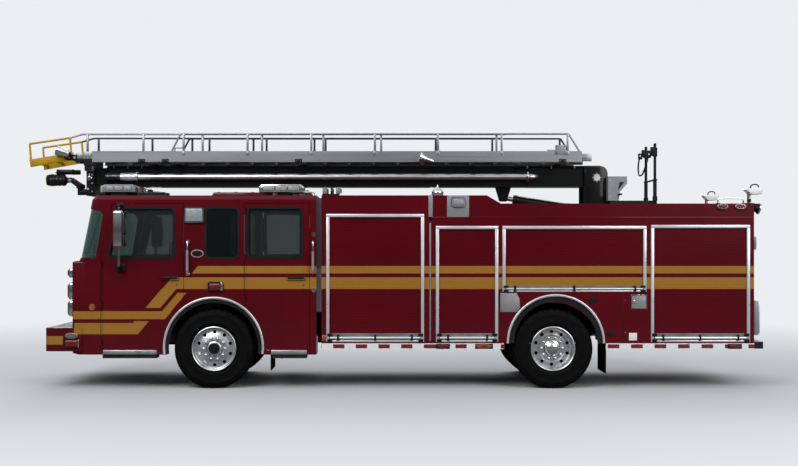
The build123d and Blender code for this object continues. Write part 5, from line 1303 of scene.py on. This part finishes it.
# %% [markdown]
# The rub rail carries flat oval lamps and a row of bolts. Their place across comes from the rail's
# own box, so they stay on its face if the rail is moved.
# %% Lamps and bolts of the rub rail
rail_lights = Piece("rub_rail_lamps", "chassis", "lightbar_lens", red_lens)
rail_face, rail_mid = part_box("rub_rails")[1].y, 0.5725
for x0, x1, colour in ((-0.833, -0.672, red_lens), (-1.412, -1.196, amber_lens), (-4.757, -4.594, red_lens)):
    rail_lights.pair(bar((x0 - 0.012, x1 + 0.012), (rail_face - 0.001, rail_face + 0.006), (0.54, 0.606), 0.01),
                     satin_black)
    rail_lights.pair(oval((x0, x1), (rail_face + 0.002, rail_face + 0.016), (0.546, 0.6), 0.008), colour)
    rail_lights.pair(oval((x0 + 0.06, x1 - 0.06), (rail_face + 0.012, rail_face + 0.019), (0.558, 0.588), 0.004))
rail_lights.pair(pin(-1.562, (rail_face - 0.001, rail_face + 0.012), rail_mid, 0.024, 20))
for step in range(14):
    x = -0.7 - step * block_length
    rail_lights.pair(pin(x, (rail_face - 0.001, rail_face + 0.005), 0.616, 0.007, 8), chrome)
rail_lights.done()

# %% [markdown]
# The rear wall has tread plates, a narrow roll-up door in a bright frame, two grey boxes and black
# collars on its handrails. It's seen only from behind, so thin bars before the wall are enough.
# %% Rear wall and tailboard
plate_x, frame_x = (-4.9405, -4.9365), (-4.95, -4.93)
rear = Piece("rear_wall_trim", "chassis", "tread_plate", tread)
rear.pair(bar(plate_x, (0.6, 1.16), (0.64, 1.42), 0.001))
rear.take(bar((-5.07, -4.942), (-1.178, 1.178), (0.6285, 0.6335), 0.002))
for y in (-0.485, 0.485):
    rear.take(bar(frame_x, span(y, 0.022), (0.68, 1.79), 0.004), bright_frame)
rear.take(bar(frame_x, (-0.507, 0.507), (1.748, 1.792), 0.004), bright_frame)
curtain_rows = 27
for row in range(curtain_rows):
    z = 0.765 + row * 0.0362
    rear.take(bar((-4.934, -4.918), (-0.465, 0.465), span(z, 0.0165), 0.003, 1), red)
rear.take(pin(-4.945, (-0.44, 0.44), 0.735, 0.018, 16), bright_frame)
rear.take(bar((-4.932, -4.918), (-0.465, 0.465), (0.69, 0.75), 0.003), grey_box)
for z in (0.8, 1.15, 1.5, 1.85, 2.2):
    for y in (-0.7, 0.7):
        rear.take(pin(-5.008, y, span(z, 0.004), 0.0225, 16), satin_black)
for y in (-1.08, 1.08):
    rear.take(bar((-5.01, -4.938), span(y, 0.115), (0.72, 1.18), 0.01), grey_box)
    rear.take(bar((-5.03, -5.006), span(y, 0.095), (0.74, 1.16), 0.01), bright_frame)
rear.take(bar((-4.952, -4.937), (-0.11, 0.11), (1.84, 1.94), 0.006), satin_black)
rear.take(bar((-5.0745, -5.071), (-0.6, 0.6), (0.55, 0.615), 0.003), satin_black)
rear.done()

# %% [markdown]
# Each wheel arch has a flat bright trim with a rolled edge. A spin would make the full ring, and it
# would have to be cut again, so the trim is a strip between two arcs that end at its level foot.
# %% Wheel arch trims
def arch_run(centre, radius, foot_z, count=40):
    """Points (X, Z) of an arc over a wheel, from foot to foot."""
    low = asin((foot_z - centre[1]) / radius)
    turns = [low + (pi - 2 * low) * index / count for index in range(count + 1)]
    return [(centre[0] + radius * cos(turn), centre[1] + radius * sin(turn)) for turn in turns]


def arch_ring(centre, outer, inner, y, foot_z):
    """A flat ring over a wheel arch, between two Y values."""
    small = bmesh.new()
    far, near = ([small.verts.new((px, y[0], pz)) for px, pz in arch_run(centre, radius, foot_z)]
                 for radius in (outer, inner))
    for first, second, third, fourth in zip(far, far[1:], near[1:], near):
        small.faces.new((first, second, third, fourth))
    return thickened(small, small.faces[:], y)


arches = Piece("wheel_arch_trims", "chassis", "polished_trim", bright_frame)
rear_arch, front_arch = (-2.27, 0.612), (2.334, 0.56)
for centre, outer, foot_z in ((rear_arch, 0.662, 0.614), (front_arch, 0.68, 0.47)):
    arches.pair(arch_ring(centre, outer, outer - 0.03, proud(0.016, -0.004), foot_z))
    line = [(px, wall_y + 0.014, pz) for px, pz in arch_run(centre, outer - 0.014, foot_z, 24)]
    arches.pair(tube(line, 0.012, 0.33))
arches.pair(arch_ring(rear_arch, 0.634, 0.56, proud(0.0015, -0.002), 0.614), dusty_black)
arches.pair(arch_ring(front_arch, 0.652, 0.6, proud(0.0015, -0.002), 0.47), dusty_black)
# Dark liners close the view through the rear wheel wells
arches.pair(bar((-2.92, -1.62), (0.455, 0.462), (0.8, 1.155), 0.002), dusty_black)
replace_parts(arches.done(), "arch_trims")

# %% [markdown]
# The boom's outer tube carries the water pipe. Its flanges, coupling and ribbed sleeve are all round
# about one axis, so each is one profile spun about it, and the bolts are set round a circle.
# %% Water pipe and its couplings
pipe_y, pipe_z = 0.245, 2.905
arm = Piece("base_boom_fittings", "base_arm", "steel", chrome)
flange = ((0.04, -0.012), (0.07, -0.012), (0.073, 0.0), (0.07, 0.012), (0.04, 0.012))
for x in (-2.004, 3.557):
    arm.take(turned(flange, (x, pipe_y, pipe_z), (1, 0, 0), 32), steel)
    for dy, dz in around(0.06, 8):
        arm.take(pin(span(x, 0.018), pipe_y + dy, pipe_z + dz, 0.007, 6), satin_black)
elbow = ((-1.985, pipe_y, pipe_z), (-2.06, pipe_y, pipe_z), (-2.115, pipe_y - 0.03, pipe_z), (-2.13, 0.165, pipe_z))
arm.take(tube(elbow, 0.043, 0.35), steel)
coupling = [(0.045, 3.56), (0.058, 3.562), (0.058, 3.585), (0.05, 3.592), (0.05, 3.618), (0.06, 3.625), (0.062, 3.7),
            (0.06, 3.716), (0.05, 3.724), (0.05, 3.74), (0.058, 3.746), (0.058, 3.775), (0.045, 3.78)]
arm.take(turned(coupling, (0, pipe_y, pipe_z), (1, 0, 0), 36, False), steel)
sleeve = [(0.046, 3.782)]
for index in range(16):
    x = 3.79 + index * 0.0135
    sleeve += [(0.05, x), (0.0565, x + 0.003), (0.0565, x + 0.009), (0.05, x + 0.012)]
arm.take(turned(sleeve + [(0.046, 4.004)], (0, pipe_y, pipe_z), (1, 0, 0), 32, False), rubber)

# %% [markdown]
# Along the outer tube run two hoses and a cable in small clips, and over it lies the lower ladder,
# with clamps on its beams and round grips on its rungs. The rungs keep an even pitch, so a loop sets
# them, while clamps and posts stand where the real ladder has them.
# %% Hoses, clamps and rungs of the outer tube
rung_pitch, rung_radius = 0.3556, 0.0205
base_posts = (2.87, 1.967, 1.067, 0.172, -0.723, -1.62, -2.553)
for y, z, radius in ((0.186, 3.04, 0.0125), (0.183, 3.012, 0.01)):
    run = ((-1.8, y - 0.01, z), (-1.9, y + radius - 0.012, z + 0.004), (-2.35, y + radius - 0.012, z),
           (-2.74, y + radius - 0.012, z), (-2.79, y - 0.006, z))
    arm.take(tube(run, radius, 0.3), rubber)
arm.take(tube(((4.0, 0.178, 3.046), (3.93, 0.184, 3.05), (3.45, 0.184, 3.05), (3.38, 0.176, 3.046)), 0.011, 0.3),
         rubber)
for x in (3.5, 3.7, 3.9, -2.0, -2.35, -2.68):
    arm.take(bar(span(x, 0.008), (0.168, 0.202), (3.026, 3.064), 0.004), aluminium)
# Clamps that hold the ladder's beam, and the grips
for x in (3.458, 3.127, 1.247, -2.48):
    arm.pair(bar(span(x, 0.052), (0.362, 0.417), (3.098, 3.15), 0.006), satin_black)
    for dx in (-0.03, 0.03):
        arm.pair(pin(x + dx, (0.414, 0.423), 3.122, 0.01, 6))
for index in range(19):
    x = -2.651 + index * rung_pitch
    arm.take(pin(x, (-0.362, 0.362), 3.1325, rung_radius, 16), aluminium)
for x in base_posts:
    arm.pair(bar(span(x, 0.022), (0.407, 0.416), (3.2, 3.262), 0.004), aluminium)
arm.pair(bar((-2.89, -2.748), (0.366, 0.412), (3.118, 3.226), 0.006), aluminium)
arm.pair(bar((-2.53, -2.372), (0.411, 0.418), (3.206, 3.345), 0.004), grey_box)
for x, z in ((-2.51, 3.325), (-2.392, 3.325), (-2.51, 3.228), (-2.392, 3.228)):
    arm.pair(pin(x, (0.416, 0.422), z, 0.009, 10), satin_black)
# Lamp on the ladder's side, tilted down
lamp_profile = ((0.0, -0.19), (0.02, -0.188), (0.026, -0.17), (0.03, -0.1), (0.048, -0.04), (0.064, 0.0),
                (0.066, 0.012), (0.06, 0.014), (0.05, 0.004), (0.0, 0.002))
lamp_face, lamp_tail = Vector((-0.475, 0.478, 3.168)), Vector((-0.653, 0.478, 3.11))
arm.take(turned(lamp_profile, lamp_face, lamp_face - lamp_tail, 32, False))
arm.take(bar((-0.575, -0.535), (0.408, 0.456), (3.115, 3.165), 0.008), satin_black)
# Hydraulic barrel's end caps and the wear pads of the outer tube's mouth
for y in (-0.178, 0.178):
    arm.take(bar((3.985, 4.003), span(y, 0.01), (2.8, 3.03), 0.003), rubber)
for z in (2.762, 3.07):
    arm.take(bar((3.985, 4.003), (-0.15, 0.15), span(z, 0.006), 0.003), rubber)
arm.done()

# %% [markdown]
# The tube that slides out carries the pipe's head with its valve, a junction box, the brackets of
# the upper ladder and a tilted spotlight. It's a piece of its own, because it slides with that tube.
# %% Fittings of the sliding tube
fly = Piece("fly_boom_fittings", "fly_arm", "steel", chrome)
for index in range(17):
    x = -1.62 + index * rung_pitch
    fly.take(pin(x, (-0.32, 0.32), 3.209, rung_radius, 16), aluminium)
fly.pair(bar((4.158, 4.3), (0.355, 0.366), (3.15, 3.252), 0.006), aluminium)
for x in (4.18, 4.23, 4.28):
    for z in (3.172, 3.232):
        fly.pair(pin(x, (0.364, 0.372), z, 0.008, 6), steel)
fly.pair(bar((4.3, 4.4), (0.328, 0.36), (3.15, 3.24), 0.006), aluminium)
fly.pair(bar((4.385, 4.52), (0.318, 0.374), (3.13, 3.215), 0.012), satin_black)
fly.pair(bar((4.3, 4.405), (0.33, 0.368), (3.1, 3.16), 0.006), satin_black)
for x in (4.415, 4.49):
    fly.pair(pin(x, (0.3, 0.384), 3.172, 0.016, 12), steel)
# Junction box and the valve beside the pipe's head
fly.take(bar((4.178, 4.292), (0.205, 0.32), (2.985, 3.06), 0.01), grey_box)
fly.take(bar((4.184, 4.286), (0.318, 0.328), (2.992, 3.053), 0.004), satin_black)
for x in (4.195, 4.275):
    for z in (3.002, 3.043):
        fly.take(pin(x, (0.327, 0.332), z, 0.005, 6))
fly.pair(bar((4.182, 4.288), (0.198, 0.213), (2.652, 3.108), 0.006), satin_black)
for z in (2.7, 2.82, 2.94, 3.07):
    fly.pair(pin(4.205, (0.208, 0.222), z, 0.01, 6), steel)
fly.take(pin(4.262, (0.21, 0.232), 2.735, 0.02, 20))
fly.take(pin(4.262, (0.23, 0.236), 2.735, 0.016, 20), clear_lens)
valve = ((0.0, 0.0), (0.03, 0.0), (0.034, 0.01), (0.034, 0.05), (0.024, 0.058), (0.02, 0.085), (0.0, 0.088))
fly.take(turned(valve, (4.232, 0.205, 2.89), (0, 1, 0), 28, False))
fly.take(pin(4.232, 0.262, (2.89, 2.965), 0.007, 10))
fly.take(ball((4.232, 0.262, 2.97), (0.014, 0.014, 0.014), 14), satin_black)
# Tilted spotlight and its bracket
spot_back, spot_front = Vector((4.478, 0.42, 3.215)), Vector((4.64, 0.42, 3.268))
along = (spot_front - spot_back).normalized()
fly.take(rod(spot_back, spot_front, 0.046, 28, 0.066))
fly.take(rod(spot_front, spot_front + along * 0.016, 0.072, 28, 0.072))
fly.take(rod(spot_front + along * 0.014, spot_front + along * 0.019, 0.064, 28, 0.06), clear_lens)
fly.take(rod(spot_back - along * 0.02, spot_back, 0.03, 20, 0.046), satin_black)
fly.take(bar((4.43, 4.56), (0.36, 0.38), (3.15, 3.215), 0.006), satin_black)
fly.take(bar((4.515, 4.555), (0.372, 0.424), (3.16, 3.18), 0.004), satin_black)
fly.done()

# %% [markdown]
# Both ladders have channel beams that are open to the inside, square posts and thin handrails. One
# solid bar would hide the channel, so web and flanges are thin bars, and the handrail is a bent pipe
# because its ends slope down.
# %% Ladders
fly_posts = (4.239, 3.448, 2.609, 1.768, 0.9, 0.082, -0.72, -1.552)
handrail_z, handrail_radius = 3.503, 0.0135
base_beam_x, fly_beam_x = (-2.751, 4.158), (-1.72, 4.29)
lower = Piece("base_ladder_form", "base_arm", "ladder_aluminium", aluminium)
lower_channel = (
    # Y and Z of the web, its two flanges and the thin lip at its foot
    ((0.396, 0.412), (3.105, 3.26)), ((0.366, 0.4005), (3.1045, 3.118)),
    ((0.366, 0.4005), (3.246, 3.2605)), ((0.41, 0.4155), (3.112, 3.118)),
)
for y, z in lower_channel:
    lower.pair(bar(base_beam_x, y, z, 0))
for x in (-2.43, 1.18, 2.96, 3.3):
    lower.take(bar(span(x, 0.045), (-0.412, 0.412), (3.0685, 3.1065), 0.004), satin_black)
for x in base_posts:
    lower.pair(bar(span(x, 0.015), (0.383, 0.411), (3.25, handrail_z), 0.004))
    lower.pair(bar(span(x, 0.034), (0.38, 0.414), (3.258, 3.266), 0.003))
sloped = side_line(0.397, (3.044, 3.25), (2.917, handrail_z - 0.012), (2.893, handrail_z), (2.8, handrail_z),
                   (-2.46, handrail_z), (-2.551, handrail_z), (-2.573, handrail_z - 0.012), (-2.723, 3.25))
lower.pair(tube(sloped, handrail_radius, 0.12))
loop = side_line(0.397, (2.995, 3.255), (2.99, 3.3), (2.97, 3.306), (2.888, 3.306))
lower.pair(tube(loop, 0.01, 0.3))
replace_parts(lower.done(), "base_ladder")

upper = Piece("fly_ladder_form", "fly_arm", "ladder_aluminium", aluminium)
upper.pair(bar(fly_beam_x, (0.346, 0.358), (3.168, 3.25), 0))
for z in (3.168, 3.238):
    upper.pair(bar(fly_beam_x, (0.322, 0.3505), (z - 0.0005, z + 0.0125), 0))
upper.pair(bar((-1.68, -1.5), (0.322, 0.386), (3.17, 3.236), 0.006), satin_black)
for x in fly_posts:
    upper.pair(bar(span(x, 0.015), (0.328, 0.356), (3.24, handrail_z), 0.004))
    upper.pair(bar(span(x, 0.032), (0.325, 0.357), (3.249, 3.256), 0.003))
run = side_line(0.342, (4.492, 3.449), (4.33, handrail_z - 0.006), (4.29, handrail_z), (4.2, handrail_z),
                (-1.6, handrail_z), (-1.679, handrail_z))
upper.pair(tube(run, handrail_radius, 0.12))
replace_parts(upper.done(), "fly_ladder")

# %% [markdown]
# The ladder's yellow tip slopes down: two beams with rungs between them and a guard frame on each
# side. A turned box would end square, so the beam is a side view, whose corners also give its lips.
# %% Ladder's tip
tip = Piece("ladder_tip_form", "fly_arm", "tip_yellow", yellow)
beam = ((5.062, 3.144), (4.5, 3.238), (4.5, 3.146), (5.045, 3.049))
tip.pair(panel(beam, (0.344, 0.358), 0.003))
for (top_x, top_z), (far_x, far_z) in ((beam[0], beam[1]), (beam[3], beam[2])):
    lip = ((top_x, top_z + 0.001), (far_x, far_z + 0.001), (far_x, far_z - 0.011), (top_x, top_z - 0.011))
    tip.pair(panel(lip, (0.322, 0.35), 0.002))
for share in (0.1, 0.5, 0.9):
    x, z = 4.5 + 0.55 * share, 3.19 - 0.094 * share
    tip.take(pin(x, (-0.345, 0.345), z, 0.0185, 16))
    for dx in (-0.02, 0.02):
        tip.pair(rod((x + dx, 0.357, z), (x + dx, 0.364, z - 0.0005), 0.008, 6), steel)
guard = side_line(0.342, (4.47, 3.215), (4.486, 3.43), (4.496, 3.449), (4.52, 3.446), (5.03, 3.371), (5.056, 3.366),
                  (5.056, 3.345), (5.04, 3.12))
tip.pair(tube(guard, 0.0145, 0.2))
tip.pair(bar((4.44, 4.515), (0.33, 0.356), (3.19, 3.25), 0.006))
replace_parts(tip.done(), "ladder_tip")

# %% [markdown]
# The monitor is the water cannon at the boom's end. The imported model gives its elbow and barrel.
# Rings, bolts and the toothed mouth are added here, all spun or set round the barrel's axis.
# %% Monitor
pitch_x, pitch_z, feed_z = 4.56, 2.871, 2.988
yaw = Piece("monitor_base_detail", "monitor_turn", "chrome", maroon)
for y in (-0.078, 0.078):
    yaw.take(pin(pitch_x, span(y, 0.004), pitch_z, 0.03, 20), chrome)
    yaw.take(pin(pitch_x, span(y, 0.008), pitch_z, 0.014, 6), steel)
yaw.done()

spout = Piece("monitor_nozzle_detail", "nozzle", "chrome", maroon)
ring = ((0.079, -0.012), (0.084, -0.01), (0.084, 0.01), (0.079, 0.012))
for x in (4.665, 4.72, 4.775):
    spout.take(turned(ring, (x, 0, pitch_z), (1, 0, 0), 36), satin_black)
for dy, dz in around(0.0815, 18):
    spout.take(pin((4.8, 4.85), dy, pitch_z + dz, 0.006, 8), satin_black)
mouth = ((0.079, 4.852), (0.084, 4.86), (0.08, 4.884), (0.068, 4.903), (0.056, 4.905), (0.056, 4.87), (0.02, 4.868),
         (0.02, 4.895), (0.0, 4.898))
spout.take(turned(mouth, (0, 0, pitch_z), (1, 0, 0), 40, False), satin_black)
for dy, dz in around(0.069, 16):
    spout.take(rod((4.895, dy, pitch_z + dz), (4.911, dy * 0.96, pitch_z + dz * 0.96), 0.0055, 8, 0.004), yellow)
clamp_ring = ((0.037, -0.006), (0.041, -0.004), (0.041, 0.004), (0.037, 0.006))
for x in (4.53, 4.75):
    spout.take(turned(clamp_ring, (x, 0, feed_z), (1, 0, 0), 28), satin_black)
spout.take(pin((4.762, 4.785), 0, feed_z, 0.014, 16), chrome)
spout.take(pin((4.425, 4.525), 0, 2.984, 0.034, 24, 0.036), satin_black)
spout.done()

# %% [markdown]
# On the turntable stand two poles with clamps and collars, and a bar dips between them. A mirror
# would make the two alike, but their clamps sit at different heights, so a loop gives each its own.
# %% Poles and dipping bar
post_x, post_y = -3.805, 0.3
pivot_x, pivot_z, ring_x = -2.987, 2.896, -3.006
post_cap = ((0.0, 3.382), (0.012, 3.38), (0.021, 3.37), (0.021, 3.355))
turret = Piece("turntable_detail", "turntable", "black_steel", satin_black)
for side, (z0, z1) in ((1, (3.171, 3.327)), (-1, (3.191, 3.33))):
    y = side * post_y
    turret.take(pin(post_x, y, (z0 + 0.02, z1 - 0.01), 0.034, 16))
    turret.take(bar((post_x - 0.006, -3.742), span(y, 0.026), (z0 + 0.03, z1), 0.006))
    turret.take(bar((-3.75, -3.69), span(y, 0.018), (z0, z1 - 0.05), 0.006))
    turret.take(pin(-3.715, span(y, 0.03), z0 + 0.05, 0.01, 6), steel)
    turret.take(turned(post_cap, (post_x, y, 0), (0, 0, 1), 20, False))
    for z in (2.622, 2.862):
        collar = ((0.02, z - 0.012), (0.034, z - 0.01), (0.036, z), (0.03, z + 0.008), (0.018, z + 0.01))
        turret.take(turned(collar, (post_x, y, 0), (0, 0, 1), 20, False))
dip = ((-3.712, -0.3, 3.225), (-3.69, -0.285, 3.1), (-3.668, -0.15, 2.965), (-3.664, 0.0, 2.938),
       (-3.668, 0.15, 2.965), (-3.69, 0.285, 3.1), (-3.712, 0.3, 3.205))
turret.take(tube(dip, 0.012, 0.33))
low_bar = ((post_x, -0.3, 2.86), (post_x, 0.3, 2.86))
turret.take(tube(low_bar, 0.014, 0.3))
# %% [markdown]
# The console has two gauges under its hood, two rows of switches and two levers with knobs. They're
# small, so plain bars, round bars and balls are enough, but a picture of them would be flat close by.
# %% Console
for y in (0.285, 0.36):
    turret.take(pin((-3.286, -3.296), y, 2.85, 0.026, 20), chrome)
for row in range(2):
    for column in range(4):
        y, z = 0.262 + column * 0.034, 2.73 + row * 0.038
        turret.take(bar((-3.304, -3.29), (y, y + 0.018), (z, z + 0.018), 0.003))
turret.take(panel(((-3.263, 2.712), (-3.355, 2.825), (-3.285, 2.825)), (0.392, 0.402), 0.002))
turret.take(rod((-3.262, 0.402, 2.6), (-3.275, 0.418, 2.64), 0.006, 10), chrome)
turret.take(ball((-3.277, 0.42, 2.646), (0.015, 0.015, 0.018), 14), rubber)
turret.take(rod((-3.275, 0.32, 2.64), (-3.32, 0.32, 2.655), 0.006, 10), chrome)
turret.take(ball((-3.322, 0.32, 2.656), (0.016, 0.016, 0.016), 14), rubber)
for z in (2.62, 2.85):
    turret.take(pin(-3.15, (0.399, 0.404), z, 0.008, 10), steel)
# %% [markdown]
# The cheeks get rounded covers, and bolts ring the pivots and the base. Bumps could draw bolts, but
# these stand out against the light, so they are real. One loop round a circle sets each ring.
# %% Covers, bolts and hoses
cheek = rounded(((-3.148, 2.388), (-3.148, 3.064), (-2.808, 3.064), (-2.808, 2.388)), 0.13, 8)
turret.pair(panel([(spot.x, spot.y) for spot in cheek], (0.2, 0.248), 0.018, 4), black_paint)
for y in (-0.262, 0.262):
    turret.take(pin(pivot_x, span(y, 0.006), pivot_z, 0.048, 28), steel)
    for dx, dz in around(0.058, 8):
        turret.take(pin(pivot_x + dx, span(y, 0.006), pivot_z + dz, 0.007, 6), steel)
for dx, dy in around(0.535, 28):
    turret.take(pin(ring_x + dx, dy, (2.383, 2.398), 0.011, 6), steel)
for side in (1, -1):
    hose = ((-3.05, side * 0.15, 2.386), (-3.06, side * 0.155, 2.45), (-3.05, side * 0.165, 2.6),
            (-3.02, side * 0.17, 2.7))
    turret.take(tube(hose, 0.012, 0.3), rubber)
turret.done()

# %% [markdown]
# The lift barrel has a gland at its mouth, clamps and a thin feed pipe. The cylinder is tilted, so
# everything is placed by its share of the line from one pin to the other.
# %% Lift barrel
barrel = Piece("lift_barrel_detail", "cylinder_barrel", "black_steel", satin_black)
barrel_pin, lug_pin = Vector((-2.787, 0, 2.446)), Vector((-1.677, 0, 2.614))
reach = (lug_pin - barrel_pin).length
cylinder_way = (lug_pin - barrel_pin).normalized()
gland = ((0.059, 0.905), (0.068, 0.91), (0.068, 0.955), (0.062, 0.962), (0.062, 0.978), (0.04, 0.98))
barrel.take(turned(gland, barrel_pin, cylinder_way, 36, False))
for share in (0.16, 0.86):
    spot = barrel_pin + cylinder_way * (reach * share * 0.98)
    barrel.take(rod(spot + Vector((0, 0.04, 0.03)), spot + Vector((0, 0.075, 0.055)), 0.014, 6), steel)
feed_start = barrel_pin + cylinder_way * 0.19 + Vector((0, 0.075, 0.05))
feed_end = barrel_pin + cylinder_way * 0.93 + Vector((0, 0.075, 0.05))
feed = (feed_start, feed_start + cylinder_way * 0.1, feed_end - cylinder_way * 0.1, feed_end)
barrel.take(tube(feed, 0.0085, 0.3), steel)
barrel.done()

# %% [markdown]
# The grab handles are bent chrome bars with ribbed grips, whose ribs are one profile spun about the
# handle. The rear wall has long handrails, and the bumper a plated top and hooks.
# %% Handles and bumper
low_trim = Piece("grips_and_bumper", "chassis", "black_plastic", grey_box)
for x, z0, z1 in ((2.68, 1.522, 2.002), (0.995, 1.536, 1.998)):
    bends = ((1.219, 0.02), (1.268, 0.02), (1.28, 0.04))
    handle = [(x, y, z0 + up) for y, up in bends] + [(x, y, z1 - up) for y, up in reversed(bends)]
    low_trim.pair(tube(handle, 0.0145, 0.3), chrome)
    grip_line = [(0.012, z0 + 0.05)]
    count = int((z1 - z0 - 0.19) / 0.016)
    for index in range(count):
        z = z0 + 0.055 + index * 0.016
        grip_line += [(0.0165, z), (0.0185, z + 0.003), (0.0185, z + 0.011), (0.0165, z + 0.014)]
    grip_line.append((0.012, z0 + 0.06 + count * 0.016))
    low_trim.pair(turned(grip_line, (x, 1.28, 0), (0, 0, 1), 20, False))
rear_rail = side_line(0.7, (-4.936, 0.72), (-4.99, 0.72), (-5.008, 0.75), (-5.008, 2.25), (-4.99, 2.28),
                      (-4.936, 2.28))
low_trim.pair(tube(rear_rail, 0.016, 0.3), chrome)
low_trim.take(bar((4.215, 4.575), (-1.15, 1.15), (0.8165, 0.8225), 0.002), tread)
for y in (-0.4, 0.4):
    hook = [(x, y + dy, 0.655) for x, dy in ((4.56, -0.05), (4.6, -0.045), (4.622, 0), (4.6, 0.045), (4.56, 0.05))]
    low_trim.take(tube(hook, 0.014, 0.4), chrome)
for x0, x1 in ((3.094, 3.82), (1.08, 1.56)):
    low_trim.pair(bar((x0, x1), (1.205, 1.238), (0.462, 0.521), 0.006), tread)
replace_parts(low_trim.done(), "grab_handles")

# %% [markdown]
# Under the body hang air tanks with steel straps. They're seen only from low down, so a spun profile
# each is enough.
# %% Air tanks
tank_y, tank_z = 0.62, 0.62
tank = ((0.0, -0.4), (0.1, -0.385), (0.135, -0.34), (0.135, 0.34), (0.1, 0.385), (0.0, 0.4))
strap = ((0.134, -0.02), (0.139, -0.02), (0.139, 0.02), (0.134, 0.02))
under = Piece("underside_detail", "chassis", "chassis_black", dusty_black)
for x in (0.3, -0.55):
    under.pair(turned(tank, (x, tank_y, tank_z), (1, 0, 0), 32, False))
    for dx in (-0.22, 0.22):
        under.pair(turned(strap, (x + dx, tank_y, tank_z), (1, 0, 0), 32), steel)
under.done()
